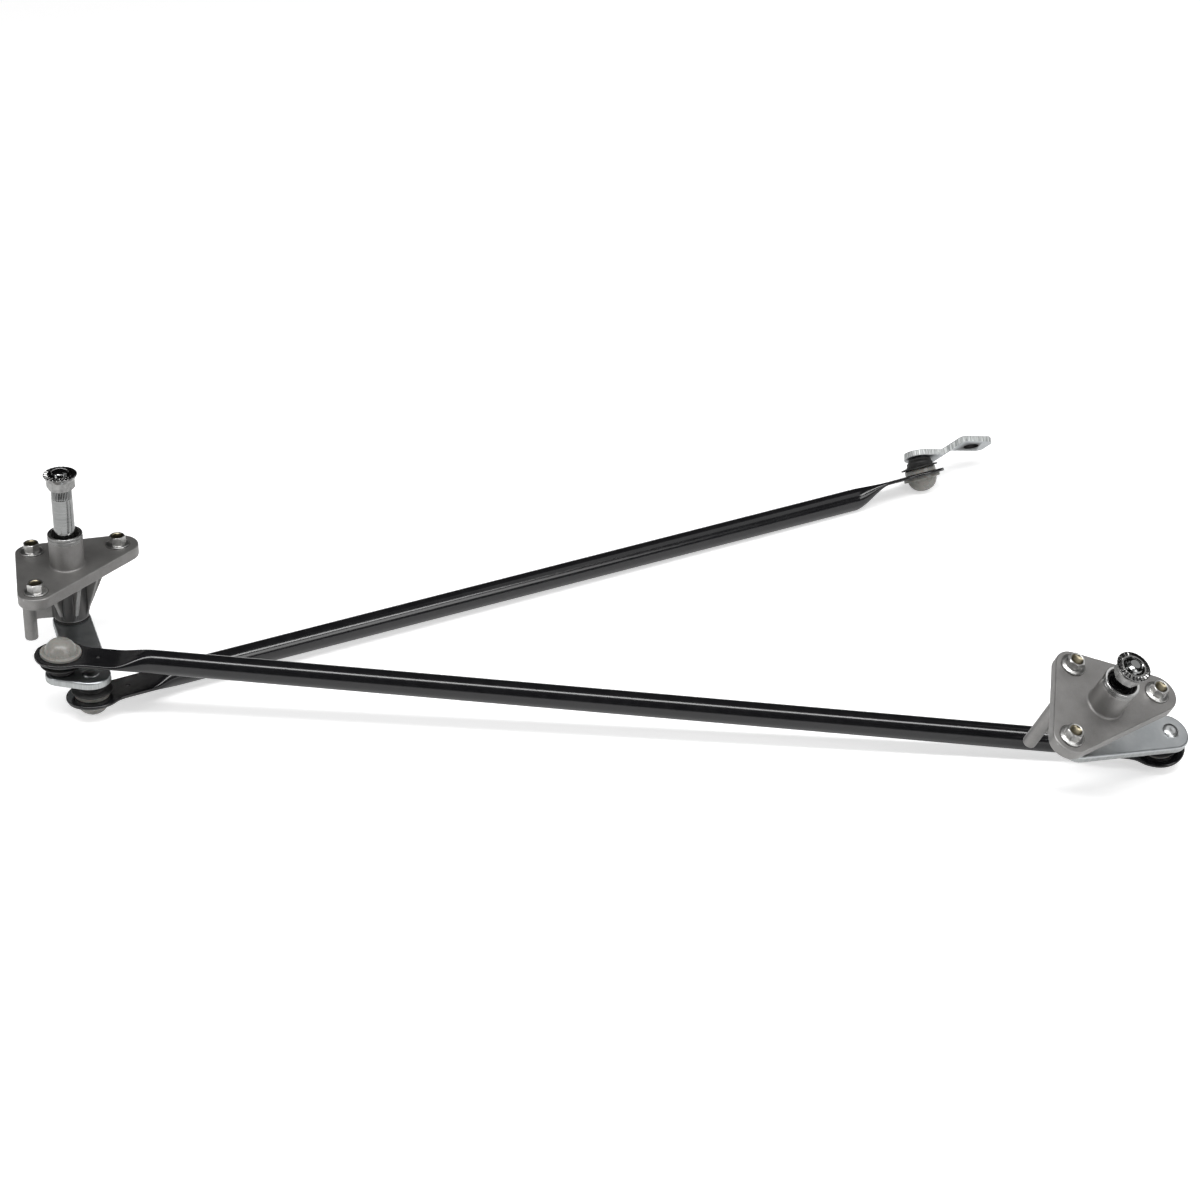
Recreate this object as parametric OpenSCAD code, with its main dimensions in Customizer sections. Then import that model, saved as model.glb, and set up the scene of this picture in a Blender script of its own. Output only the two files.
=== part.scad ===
// Windscreen wiper linkage: two cast pivots, two levers, two tubular links and a motor crank.
// Origin: left spindle axis at the upper face of the left pivot plate. +Z runs up that spindle.

/* [Pivot casting] */
// Distance between the corner bolt and each of the other two bolts
bolt_leg = 51; // [44:0.5:60]
// Distance of the spindle axis from both bolt rows
bolt_row_offset = 20; // [18:0.5:24]
// Radius of the plate around each bolt: the one in the corner, the nose, the one below the corner
plate_corner_r = [10, 12.4, 10.8]; // [9:0.1:13]
// Thickness of the plate
plate_t = 7; // [5:0.1:8]
// Depth of the thread bosses below the plate
thread_boss_h = 1; // [0.6:0.1:5]
// Diameter of the thread bosses below the plate
thread_boss_d = 15; // [12:0.1:18]
// Radius of the boss above the plate
boss_r = 10.25; // [10:0.05:11]
// Draft of the hub's wall, degrees
hub_draft = 2; // [0:0.1:4]
// Height of the boss above the plate
boss_h = 20; // [17:0.1:23]
// Fillet between boss and plate
boss_fillet = 1.8; // [1:0.1:2.5]
// Length of the hub below the plate's upper face
hub_l = 34.6; // [30:0.1:40]
// Radius of the hub at its lower end
hub_r = 10.5; // [10:0.1:12]
// Number of gusset ribs round the hub
rib_count = 8; // [4:1:10]
// Direction of the first gusset rib, degrees
rib_phase = 14; // [0:1:45]
// Thickness of a gusset rib
rib_t = 2.4; // [2:0.1:3]
// Reach of a gusset rib at the plate, from the spindle axis
rib_reach = 22.8; // [15:0.1:26]
// Diameter of the cast stop post
post_d = 8; // [6:0.1:9]
// Place of the stop post along the bolt legs, from the spindle axis
post_at = [-24.5, -3]; // [-26:0.1:-2]
// Length of the stop post below the plate's upper face
post_l = 46; // [42:0.5:50]
// Height of the web's lower edge above the foot of the hub
web_gap = 2.1; // [1:0.1:10]
// Thickness of the web between post and hub
web_t = 4; // [2:0.1:6]
// Diameter of the spot face under each bolt head
spot_face_d = 15.2; // [14.8:0.1:16]
// Depth of the spot face under each bolt head
spot_face_h = 0.4; // [0.2:0.1:0.8]
// Chamfer on the casting's lower edges
cast_chamfer = 0.6; // [0.3:0.1:1]
// Height of a rib's foot at the plate, and of its start above the hub's end
rib_foot = 1.2; // [0.8:0.1:2]

/* [Spindle and bearings] */
// Diameter of the spindle journal
spindle_d = 12.5; // [12:0.1:13]
// Radial running clearance of the spindle in its bushes
bush_clearance = 0.03; // [0.01:0.01:0.08]
// Wall of a bearing bush
bush_wall = 1.5; // [1:0.1:1.8]
// Length of a bearing bush
bush_l = 11; // [8:0.5:13]
// Depth of the seal pocket in the top of the boss
pocket_h = 6; // [5:0.1:7]
// Diameter of the seal pocket
pocket_d = 17; // [16.6:0.1:17.6]
// Thickness of the retaining clip
clip_t = 1; // [0.8:0.1:1.2]
// Depth of the clip groove in the spindle
clip_groove = 0.8; // [0.5:0.1:1]
// How far the retaining clip stands proud of the spindle
clip_proud = 1.1; // [0.8:0.1:1.4]
// Opening of the retaining clip
clip_gap = 2; // [1:0.1:4]
// Height of the rubber seal
seal_h = 2.6; // [2:0.1:3]
// Undercut behind the seal's lip
seal_lip = 0.4; // [0.2:0.1:0.8]
// Height of the steel ring round the top of the boss
ring_h = 3; // [2:0.1:4]
// Wall of the steel ring
ring_t = 0.9; // [0.6:0.1:1.2]
// How far the steel ring stands proud of the boss
ring_proud = 0.15; // [0.1:0.05:0.2]
// Width of the lip that the steel ring turns over the boss
ring_lip = 1.5; // [1:0.1:1.7]
// Diameter of the thrust washer under the hub
washer_d = 20.2; // [18:0.1:21]
// Thickness of the thrust washer under the hub
washer_t = 1.1; // [0.8:0.1:2]
// End play and other free gaps between pieces that turn against each other
play = 0.3; // [0.2:0.05:0.4]
// Height of the left nut's flange above the plate
left_nut_top = 60; // [50:0.5:70]
// Height of the right nut's flange above the plate
right_nut_top = 35; // [33:0.5:60]
// Length of the fine serration below the nut
serration_l = 6; // [4:0.1:6.5]
// Number of teeth in the serration
serration_teeth = 36; // [24:1:48]
// How far the serration's tips lie below the journal
serration_drop = 0.15; // [0.1:0.05:0.3]
// Depth of a serration tooth
serration_h = 0.5; // [0.3:0.05:0.7]
// Diameter of the spindle thread
thread_d = 10; // [8:0.1:11]
// How far the spindle tip stands above the nut
tip_out = 2; // [1.5:0.1:4]
// Chamfer on the spindle's ends and in the nut's mouth
tip_chamfer = 1.2; // [0.6:0.1:1.4]
// Diameter of the spindle where it is pressed into the lever
stake_d = 12; // [11:0.1:12.5]
// Diameter of the peened foot under the lever
foot_d = 15; // [14:0.1:18]
// Height of the peened foot
foot_h = 2; // [1.5:0.1:3]

/* [Nuts and bolts] */
// Flange diameter of a spindle nut
nut_flange_d = 20; // [18:0.1:22]
// Flange thickness of a spindle nut
nut_flange_h = 3; // [2:0.1:4]
// Width across flats of a spindle nut
nut_af = 14.6; // [13:0.1:16]
// Height of the nut's hexagon
nut_hex_h = 6.5; // [5:0.1:8]
// Bevel round the end of the nut's hexagon
nut_bevel = 0.2; // [0.1:0.05:0.4]
// Width of the cone under a nut's flange
nut_cone = 1.2; // [0.5:0.1:2]
// Chamfer on the rim of a nut's flange
nut_rim = 0.7; // [0.4:0.1:1]
// Number of grooves on the nut's bearing face
nut_grooves = 24; // [16:1:30]
// Depth of a groove on the nut's bearing face
nut_groove_h = 0.5; // [0.3:0.05:0.8]
// Shank diameter of a mounting bolt
bolt_d = 6; // [5:0.1:7]
// Flange diameter of a mounting bolt
bolt_flange_d = 14; // [12:0.1:14.6]
// Flange thickness of a mounting bolt
bolt_flange_h = 1.7; // [1.2:0.1:2.5]
// Width across flats of a mounting bolt
bolt_af = 8.8; // [8:0.1:10]
// Height of the bolt's hexagon above its flange
bolt_hex_h = 4.6; // [3:0.1:6]
// Bevel round the top of the bolt's hexagon
bolt_bevel = 0.15; // [0.1:0.05:0.3]
// Diameter of the dished recess in the bolt head
bolt_dish_d = 7.2; // [5:0.1:7.4]
// Width of the cone on top of a bolt's flange
bolt_cone = 1.5; // [0.5:0.1:2]
// Depth of the dished recess in the bolt head
bolt_dish = 1.1; // [0.6:0.1:1.5]

/* [Levers and crank] */
// Thickness of the lever plates
lever_t = 4.5; // [3.5:0.1:6]
// Radius of a lever round its spindle
lever_hub_r = 11.5; // [11:0.1:14]
// Radius from spindle to the front link's ball, on both levers
lever_r = 65; // [58:0.5:75]
// Radius from left spindle to the drive link's ball
drive_r = 70.5; // [66:0.5:80]
// Angle between the two balls of the left lever, degrees
lever_fork = 13.8; // [13:0.1:20]
// Radius of the left lever round the front link's ball
front_lobe_r = 10; // [9:0.1:11]
// Radius of the left lever round the drive link's ball
drive_lobe_r = 11.7; // [10:0.1:12.5]
// Radius of the right lever round its ball
right_lobe_r = 11.7; // [10:0.1:12.5]
// Thickness of the crank strip
crank_t = 4; // [3:0.1:5]
// Width of the crank strip
crank_w = 20; // [18:0.1:23]
// Distance along the crank from its ball to its motor hole
crank_r = 40; // [38:0.5:48]
// Length of the crank's inner flat beyond the ball
crank_inner = 13; // [12:0.1:15]
// Length of the sloping part of the crank
crank_slope = 17; // [14:0.1:20]
// Height of the crank's step
crank_rise = 9.5; // [6:0.1:12]
// Diameter of the motor spindle hole
crank_hole_d = 10; // [8:0.1:11]
// Length of the crank beyond the motor hole
crank_end = 12; // [10:0.1:14]
// Chamfer at the crank's outer corners
crank_chamfer = 3; // [1:0.1:5]

/* [Ball joints] */
// Diameter of a ball
ball_d = 14; // [13:0.1:14.5]
// Running clearance of a ball in its socket
ball_clearance = 0.05; // [0.02:0.01:0.1]
// Distance from a ball's centre to the face of its lever
ball_drop = 12.2; // [12:0.1:14]
// Diameter of a ball stud's neck and shank
stud_d = 8; // [7:0.1:8.4]
// Diameter of a stud's shoulder
shoulder_d = 11; // [9.5:0.1:11.2]
// Height of a stud's shoulder
shoulder_h = 1; // [0.6:0.1:1.4]
// Diameter of a stud's peened rivet head
rivet_d = 10; // [9:0.1:11]
// Height of a stud's rivet head
rivet_h = 1.8; // [1.2:0.1:2.2]
// Wall of a nylon socket's dome
dome_wall = 2.45; // [2:0.05:3]
// Diameter of a socket's flange
flange_d = 24; // [23:0.1:26]
// Thickness of a socket's flange
flange_t = 2; // [1.5:0.1:2.5]
// Diameter of a socket's neck in the link eye
neck_d = 19.2; // [18.8:0.1:19.6]
// Diameter of a socket's snap collar
collar_d = 20.4; // [20:0.1:21]
// Height of a socket's snap collar
collar_h = 3.3; // [3:0.1:3.5]
// Wall of a socket's snap collar at its rim
collar_wall = 1.8; // [1.4:0.1:2]
// Distance from a ball's centre to the start of its socket's flared mouth
mouth_z = 3; // [2.4:0.1:3.4]
// Diameter of a rubber boot's brim
brim_d = 24.5; // [23:0.1:26]
// Thickness of a rubber boot's brim
brim_t = 1.2; // [1:0.1:1.4]
// Wall of a rubber boot at the foot of its neck
boot_wall = 1.1; // [0.8:0.1:1.5]
// Height of the straight rim at the top of a boot
boot_rim = 1; // [0.6:0.1:1.2]
// Diameter of a boot's neck where it meets the lever
boot_top_d = 14.6; // [14.2:0.1:16]

/* [Links] */
// Ball to ball length of the front link
front_l = 632.7; // [560:0.5:700]
// Ball to ball length of the drive link
drive_l = 582.8; // [520:0.5:650]
// Diameter of a link tube
tube_d = 14; // [12:0.1:14.5]
// Wall of a link tube
tube_wall = 1.1; // [0.9:0.1:1.6]
// Thickness of a flattened tube end
eye_t = 2.2; // [2:0.1:3]
// Radius of a flattened eye
eye_r = 15.4; // [13.8:0.1:16]
// Distance from a ball's centre to the near face of its eye
eye_z = 0.5; // [0.3:0.1:1]
// Width of the flattened tube next to the eye
tongue_w = 22; // [20:0.1:24]
// Distance from ball to the start of the round transition
tongue_l = 31; // [28:0.5:36]
// Distance from ball to the full round tube
round_at = 50; // [44:0.5:60]
// Diameter of the pilot hole in each tongue
pilot_d = 3; // [2:0.1:4]
// Distance from ball to pilot hole
pilot_at = 22; // [21:0.5:26]
// Drop of the tube below the crank end's eye
drive_step = 4.5; // [3:0.1:5]
// Rise of the tube over the front link's left eye
front_rise = 1.2; // [0:0.1:1.5]
// Drop of the tube below the front link's right eye
front_step = 2.4; // [0:0.1:4]
// Twist of the front link's right eye, degrees
front_twist = 19.4; // [10:0.1:24]
// Twist of the drive link's right eye, degrees
drive_twist = -31; // [-40:0.5:-10]

/* [Rest pose] */
// Turn of the left plate about its spindle, degrees
left_yaw = 10.9; // [0:0.1:20]
// Direction of the left lever's front ball, degrees from +X
left_lever_angle = -87.2; // [-100:0.1:-75]
// Direction of the right lever in its own pivot, degrees
right_lever_angle = 26.9; // [10:0.1:40]
// Heading of the front link, degrees from +X
front_heading = -5.33; // [-10:0.01:0]
// Heading of the drive link, degrees from +X
drive_heading = 29.6; // [20:0.1:40]
// Roll, pitch and yaw of the right pivot, degrees
right_turn = [20.7, 20.7, 1.3]; // [0:0.1:30]
// Roll, pitch and yaw of the crank, degrees
crank_turn = [-42.5, 10.5, 20.5]; // [-50:0.1:30]

/* [Hidden] */
$fn = 64;
eps = 0.01;
// Thickness of the slices that a tube's transition is drawn between
slice_t = 0.5;
// Overshoot of cutting shapes past the faces they open
cut = 1;
// How far a lever's straight edges lie inside its round ends
seam = 0.03;
// How far a tube's transition lies inside the forms at both its ends
lap = 0.2;

// Pivot heights, measured from the plate's upper face
lever_top = -(hub_l + play + washer_t);
lever_bottom = lever_top - lever_t;
pocket_z = boss_h - pocket_h;
clip_z = pocket_z + play;
seal_z = clip_z + clip_t + play;
spindle_r = spindle_d / 2;
bush_bore_r = spindle_r + bush_clearance;
bush_r = bush_bore_r + bush_wall;
relief_r = bush_bore_r + bush_wall / 2;
nut_h = nut_flange_h + nut_hex_h;
bolt_points = [
    [-bolt_row_offset, bolt_row_offset],
    [bolt_leg - bolt_row_offset, bolt_row_offset],
    [-bolt_row_offset, bolt_row_offset - bolt_leg]
];

// Ball joint heights, measured from the ball's centre towards the lever
eye_back = eye_z + eye_t;
eye_mid = eye_z + eye_t / 2;
collar_top = eye_back + collar_h;
dome_r = ball_d / 2 + ball_clearance + dome_wall;
cavity_r = ball_d / 2 + ball_clearance;
mouth_r = sqrt(cavity_r * cavity_r - mouth_z * mouth_z);
mouth_top_r = collar_d / 2 - collar_wall;

// Rotation of a vector by roll, pitch and yaw, in that order
function roll_x(v, a) = [v.x, v.y * cos(a) - v.z * sin(a), v.y * sin(a) + v.z * cos(a)];
function pitch_y(v, a) = [v.x * cos(a) + v.z * sin(a), v.y, -v.x * sin(a) + v.z * cos(a)];
function yaw_z(v, a) = [v.x * cos(a) - v.y * sin(a), v.x * sin(a) + v.y * cos(a), v.z];
function turned(v, a) = yaw_z(pitch_y(roll_x(v, a.x), a.y), a.z);
function polar(r, a) = [r * cos(a), r * sin(a)];
function at_height(p, z) = [p.x, p.y, z];

// Ball centres at rest
front_arm = polar(lever_r, left_lever_angle);
drive_arm = polar(drive_r, left_lever_angle + lever_fork);
right_arm = polar(lever_r, right_lever_angle);
ball_fl = at_height(front_arm, lever_top + ball_drop);
ball_dl = at_height(drive_arm, lever_bottom - ball_drop);
floor_ball_z = ball_dl.z;
front_fall = floor_ball_z - ball_fl.z;
front_run = sqrt(front_l * front_l - front_fall * front_fall);
ball_fr = ball_fl + [front_run * cos(front_heading), front_run * sin(front_heading), front_fall];
ball_dr = ball_dl + at_height(polar(drive_l, drive_heading), 0);
right_origin = ball_fr - turned(at_height(right_arm, lever_bottom - ball_drop), right_turn);

// The four ball joints
FRONT_LEFT = 0;
FRONT_RIGHT = 1;
DRIVE_LEFT = 2;
DRIVE_RIGHT = 3;

// Frame with its X axis from p to q
module along(p, q) {
    d = q - p;
    translate(p)
        rotate([0, -asin(d.z / norm(d)), atan2(d.y, d.x)])
            children();
}

module in_left_casting() {
    rotate([0, 0, left_yaw])
        children();
}

module in_right_pivot() {
    translate(right_origin)
        rotate(right_turn)
            children();
}

// Frame of a link eye: origin at the ball, +Z square to the eye and towards the lever
module eye_frame(joint) {
    if (joint == FRONT_LEFT)
        along(ball_fl, ball_fr)
            rotate([180, 0, 0])
                children();
    if (joint == FRONT_RIGHT)
        along(ball_fl, ball_fr)
            translate([front_l, 0, 0])
                rotate([front_twist, 0, 0])
                    children();
    if (joint == DRIVE_LEFT)
        along(ball_dl, ball_dr)
            children();
    if (joint == DRIVE_RIGHT)
        along(ball_dl, ball_dr)
            translate([drive_l, 0, 0])
                rotate([drive_twist, 0, 0])
                    children();
}

// Frame of a ball stud: origin at the ball, +Z up the stud towards the lever
module stud_frame(joint) {
    if (joint == FRONT_LEFT)
        translate(ball_fl)
            rotate([180, 0, 0])
                children();
    if (joint == FRONT_RIGHT)
        translate(ball_fr)
            rotate(right_turn)
                children();
    if (joint == DRIVE_LEFT)
        translate(ball_dl)
            children();
    if (joint == DRIVE_RIGHT)
        translate(ball_dr)
            rotate(crank_turn)
                children();
}

// Ring between two radii and two heights
module ring(inner_r, outer_r, z0, z1) {
    rotate_extrude()
        translate([inner_r, z0])
            square([outer_r - inner_r, z1 - z0]);
}

// Convex plate outline with round corners of one radius, points given clockwise
module rounded_outline(points, radii) {
    count = len(points);
    for (i = [0 : count - 1])
        translate(points[i])
            circle(radii[i]);
    polygon([
        for (i = [0 : count - 1])
            let (
                j = (i + 1) % count, run = points[j] - points[i], u = run / norm(run),
                lean = (radii[i] - radii[j]) / norm(run),
                n = lean * u + sqrt(1 - lean * lean) * [-u.y, u.x]
            )
                for (k = [i, j])
                    points[k] + radii[k] * n
    ]);
}

// Plate between two centres: two round ends and the tangents between them
module lever_strip(p, p_r, q, q_r) {
    aim = atan2(q.y - p.y, q.x - p.x);
    lean = acos((p_r - q_r) / norm(q - p));
    p_in = p_r - seam;
    q_in = q_r - seam;
    translate([0, 0, lever_bottom]) {
        translate(p)
            cylinder(r = p_r, h = lever_t);
        translate(q)
            cylinder(r = q_r, h = lever_t);
        linear_extrude(lever_t)
            polygon([
                p + polar(p_in, aim + lean), q + polar(q_in, aim + lean),
                q + polar(q_in, aim - lean), p + polar(p_in, aim - lean)
            ]);
    }
}

// Holes of a lever for its spindle and ball studs
module lever_holes(arms) {
    translate([0, 0, lever_bottom - cut]) {
        cylinder(d = stake_d, h = lever_t + 2 * cut);
        for (arm = arms)
            translate(arm)
                cylinder(d = stud_d, h = lever_t + 2 * cut);
    }
}

// Outer form of boss and hub, with a fillet on the plate
module casting_barrel() {
    hub_root_r = hub_r + (hub_l - plate_t) * tan(hub_draft);
    fillet_steps = 6;
    rotate_extrude()
        polygon(concat(
            [[0, -hub_l], [hub_r - cast_chamfer, -hub_l], [hub_r, -hub_l + cast_chamfer]],
            [[hub_root_r, -plate_t]],
            [[hub_root_r, -eps], [boss_r + boss_fillet, -eps]],
            [for (i = [0 : fillet_steps])
                let (a = 90 * i / fillet_steps)
                    [boss_r + boss_fillet * (1 - sin(a)), boss_fillet * (1 - cos(a))]],
            [[boss_r, boss_h], [0, boss_h]]
        ));
}

// Gussets under the plate, cut back where they would pass its edge
module gusset_ribs() {
    intersection() {
        union()
            for (i = [0 : rib_count - 1])
                rotate([90, 0, rib_phase + 360 * i / rib_count])
                    linear_extrude(rib_t, center = true)
                        polygon([
                            [0, -plate_t + eps], [rib_reach, -plate_t + eps],
                            [rib_reach, -plate_t - rib_foot],
                            [hub_r, -hub_l + rib_foot], [0, -hub_l + rib_foot]
                        ]);
        translate([0, 0, -hub_l])
            linear_extrude(hub_l)
                rounded_outline(bolt_points, [for (r = plate_corner_r) r - cast_chamfer]);
    }
}

module stop_post() {
    tip_r = post_d / 2 - cast_chamfer;
    translate(at_height(post_at, -post_l)) {
        translate([0, 0, cast_chamfer])
            cylinder(d = post_d, h = post_l - cast_chamfer - eps);
        cylinder(r1 = tip_r, r2 = post_d / 2, h = cast_chamfer);
    }
    translate([post_at.x, post_at.y - web_t / 2, web_gap - hub_l])
        cube([-post_at.x, web_t, hub_l - web_gap - eps]);
}

module pivot_housing() {
    difference() {
        union() {
            translate([0, 0, -plate_t])
                linear_extrude(plate_t)
                    rounded_outline(bolt_points, plate_corner_r);
            for (p = bolt_points)
                translate(at_height(p, -plate_t - thread_boss_h))
                    cylinder(d = thread_boss_d, h = thread_boss_h + eps);
            casting_barrel();
            gusset_ribs();
            stop_post();
        }
        translate([0, 0, -hub_l - cut])
            cylinder(r = relief_r, h = hub_l + boss_h + 2 * cut);
        for (z = [-hub_l, pocket_z - bush_l])
            translate([0, 0, z])
                cylinder(r = bush_r, h = bush_l);
        translate([0, 0, pocket_z])
            cylinder(d = pocket_d, h = pocket_h + cut);
        ring(boss_r - ring_t, boss_r + cut, boss_h - ring_h, boss_h + cut);
        for (p = bolt_points) {
            translate(at_height(p, -plate_t - thread_boss_h - cut))
                cylinder(d = bolt_d, h = plate_t + thread_boss_h + 2 * cut);
            translate(at_height(p, -spot_face_h))
                cylinder(d = spot_face_d, h = spot_face_h + cut);
        }
    }
}

module bush(z) {
    ring(bush_bore_r, bush_r, z, z + bush_l);
}

// Lip seal, open by the free gap round the spindle
module spindle_seal() {
    outer_r = pocket_d / 2;
    inner_r = spindle_r + play;
    rotate_extrude()
        polygon([
            [inner_r, seal_z + seal_h], [inner_r + seal_lip, seal_z + seal_h / 2],
            [inner_r + seal_lip, seal_z], [outer_r, seal_z], [outer_r, seal_z + seal_h]
        ]);
}

// Thin steel ring, its lip turned over the rim of the boss
module boss_ring() {
    inner_r = boss_r - ring_t;
    outer_r = boss_r + ring_proud;
    rotate_extrude()
        polygon([
            [inner_r, boss_h - ring_h], [outer_r, boss_h - ring_h],
            [outer_r, boss_h + ring_t / 2], [outer_r - ring_t / 2, boss_h + ring_t],
            [boss_r - ring_lip, boss_h + ring_t], [boss_r - ring_lip, boss_h], [inner_r, boss_h]
        ]);
}

module mounting_bolts() {
    dish_r = bolt_dish_d / 2;
    dish_sphere_r = (dish_r * dish_r + bolt_dish * bolt_dish) / (2 * bolt_dish);
    shank_l = plate_t + thread_boss_h - spot_face_h;
    head_top = bolt_flange_h + bolt_hex_h;
    bevel_r = bolt_af / 2 - bolt_bevel;
    for (p = bolt_points)
        translate(at_height(p, -spot_face_h)) {
            translate([0, 0, -shank_l])
                cylinder(d = bolt_d, h = shank_l + eps);
            cylinder(d = bolt_flange_d, h = bolt_flange_h / 2);
            translate([0, 0, bolt_flange_h / 2])
                cylinder(d1 = bolt_flange_d, d2 = bolt_flange_d - 2 * bolt_cone, h = bolt_flange_h / 2);
            difference() {
                intersection() {
                    cylinder(d = bolt_af / cos(30), h = head_top, $fn = 6);
                    cylinder(r1 = bevel_r + head_top, r2 = bevel_r, h = head_top);
                }
                translate([0, 0, head_top - bolt_dish + dish_sphere_r])
                    sphere(dish_sphere_r);
            }
        }
}

// Star outline of the fine serration
module serration_outline() {
    tip_r = spindle_r - serration_drop;
    polygon([
        for (i = [0 : 2 * serration_teeth - 1])
            polar(tip_r - (i % 2) * serration_h, 180 * i / serration_teeth)
    ]);
}

module spindle(nut_top) {
    nut_bottom = nut_top - nut_h;
    serration_z = nut_bottom - serration_l;
    difference() {
        union() {
            translate([0, 0, lever_bottom - foot_h])
                cylinder(d1 = foot_d - 2 * tip_chamfer, d2 = foot_d, h = foot_h);
            translate([0, 0, lever_bottom - eps])
                cylinder(d = stake_d, h = lever_t + 2 * eps);
            translate([0, 0, lever_top])
                cylinder(r = spindle_r, h = serration_z - lever_top);
            translate([0, 0, serration_z - eps])
                linear_extrude(serration_l + eps)
                    serration_outline();
            translate([0, 0, nut_bottom - eps])
                cylinder(d = thread_d, h = nut_h + tip_out - tip_chamfer + eps);
            translate([0, 0, nut_top + tip_out - tip_chamfer])
                cylinder(d1 = thread_d, d2 = thread_d - 2 * tip_chamfer, h = tip_chamfer);
        }
        ring(spindle_r - clip_groove, spindle_r + cut, clip_z, clip_z + clip_t);
    }
}

// Snap ring, open on one side
module retaining_clip() {
    inner_r = spindle_r - clip_groove;
    outer_r = spindle_r + clip_proud;
    difference() {
        ring(inner_r, outer_r, clip_z, clip_z + clip_t);
        translate([0, -clip_gap / 2, clip_z - cut])
            cube([outer_r + cut, clip_gap, clip_t + 2 * cut]);
    }
}

// Flange nut fitted with its flange and grooved face uppermost
module spindle_nut(nut_top) {
    bevel_r = nut_af / 2 - nut_bevel;
    cone_d = nut_flange_d - 2 * nut_cone;
    translate([0, 0, nut_top - nut_h])
        difference() {
            union() {
                intersection() {
                    cylinder(d = nut_af / cos(30), h = nut_hex_h + eps, $fn = 6);
                    cylinder(r1 = bevel_r, r2 = bevel_r + nut_hex_h, h = nut_hex_h + eps);
                }
                translate([0, 0, nut_hex_h])
                    cylinder(d1 = cone_d, d2 = nut_flange_d, h = nut_flange_h - nut_rim);
                translate([0, 0, nut_h - nut_rim])
                    cylinder(d1 = nut_flange_d, d2 = nut_flange_d - 2 * nut_rim, h = nut_rim);
            }
            translate([0, 0, -cut])
                cylinder(d = thread_d, h = nut_h + 2 * cut);
            translate([0, 0, nut_h - tip_chamfer])
                cylinder(d1 = thread_d, d2 = thread_d + 2 * tip_chamfer, h = tip_chamfer + eps);
            for (i = [0 : nut_grooves - 1])
                rotate([0, 0, 360 * i / nut_grooves])
                    translate([nut_flange_d / 4 + thread_d / 4, 0, nut_h + cut])
                        rotate([0, 90, 0])
                            cylinder(r = nut_groove_h + cut, h = nut_flange_d, $fn = 4);
        }
}

module thrust_washer() {
    ring(spindle_r, washer_d / 2, lever_top, lever_top + washer_t);
}

// Turned ball stud, riveted over on the far side of a plate of the given thickness
module ball_stud(plate) {
    rivet_sphere_r = (rivet_d * rivet_d / 4 + rivet_h * rivet_h) / (2 * rivet_h);
    sphere(d = ball_d);
    cylinder(d = stud_d, h = ball_drop + plate + eps);
    translate([0, 0, ball_drop - shoulder_h])
        cylinder(d = shoulder_d, h = shoulder_h);
    translate([0, 0, ball_drop + plate])
        intersection() {
            cylinder(d = rivet_d, h = rivet_h);
            translate([0, 0, rivet_h - rivet_sphere_r])
                sphere(rivet_sphere_r);
        }
}

// Nylon socket: dome, flange on the eye, neck through it and snap collar behind it
module ball_socket() {
    difference() {
        union() {
            sphere(dome_r);
            translate([0, 0, eye_z - flange_t])
                cylinder(d = flange_d, h = flange_t);
            cylinder(d = neck_d, h = eye_back + eps);
            translate([0, 0, eye_back])
                cylinder(d = collar_d, h = collar_h);
        }
        translate([0, 0, collar_top])
            cylinder(r = dome_r + cut, h = dome_r);
        sphere(cavity_r);
        translate([0, 0, mouth_z])
            cylinder(r1 = mouth_r, r2 = mouth_top_r, h = collar_top - mouth_z + eps);
    }
}

// Rubber boot: a brim on the socket's collar and a neck that leans with the stud
module ball_boot(joint) {
    neck_root_r = mouth_top_r + boot_wall;
    boot_top_z = ball_drop - play;
    top_bore_r = shoulder_d / 2 + play;
    difference() {
        union() {
            eye_frame(joint)
                translate([0, 0, collar_top])
                    cylinder(d = brim_d, h = brim_t);
            hull() {
                eye_frame(joint)
                    translate([0, 0, collar_top])
                        cylinder(r = neck_root_r, h = brim_t, $fn = 48);
                stud_frame(joint)
                    translate([0, 0, boot_top_z - boot_rim])
                        cylinder(d = boot_top_d, h = boot_rim, $fn = 48);
            }
        }
        hull() {
            eye_frame(joint)
                translate([0, 0, collar_top - cut])
                    cylinder(r = mouth_top_r, h = cut, $fn = 48);
            stud_frame(joint)
                translate([0, 0, boot_top_z - boot_rim])
                    cylinder(r = top_bore_r, h = boot_rim + cut, $fn = 48);
        }
    }
}

// Flattened end of a link: eye, tongue and pilot hole; side is +1 where the tube runs to +X
module link_end(side) {
    difference() {
        translate([0, 0, eye_z])
            linear_extrude(eye_t) {
                circle(eye_r);
                translate([side > 0 ? 0 : -tongue_l, -tongue_w / 2])
                    square([tongue_l, tongue_w]);
            }
        translate([0, 0, eye_z - cut])
            cylinder(d = neck_d, h = eye_t + 2 * cut);
        translate([side * pilot_at, 0, eye_z - cut])
            cylinder(d = pilot_d, h = eye_t + 2 * cut);
    }
}

// Slice of the flattened tube where the round transition starts
module tongue_slice(side) {
    for (y = [-1, 1])
        translate([side * (tongue_l - slice_t), y * (tongue_w - eye_t) / 2, eye_mid])
            rotate([0, side * 90, 0])
                cylinder(d = eye_t - 2 * lap, h = slice_t, $fn = 24);
}

// Round slice of the tube, at the given height over the ball's plane
module tube_slice(side, height) {
    translate([side * round_at, 0, height])
        rotate([0, side * 90, 0])
            cylinder(d = tube_d - 2 * lap, h = slice_t, $fn = 48);
}

// Hollow round tube between two points
module round_tube(p, q) {
    along(p, q)
        rotate([0, 90, 0])
            difference() {
                cylinder(d = tube_d, h = norm(q - p));
                translate([0, 0, tube_wall])
                    cylinder(d = tube_d - 2 * tube_wall, h = norm(q - p) - 2 * tube_wall);
            }
}

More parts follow.
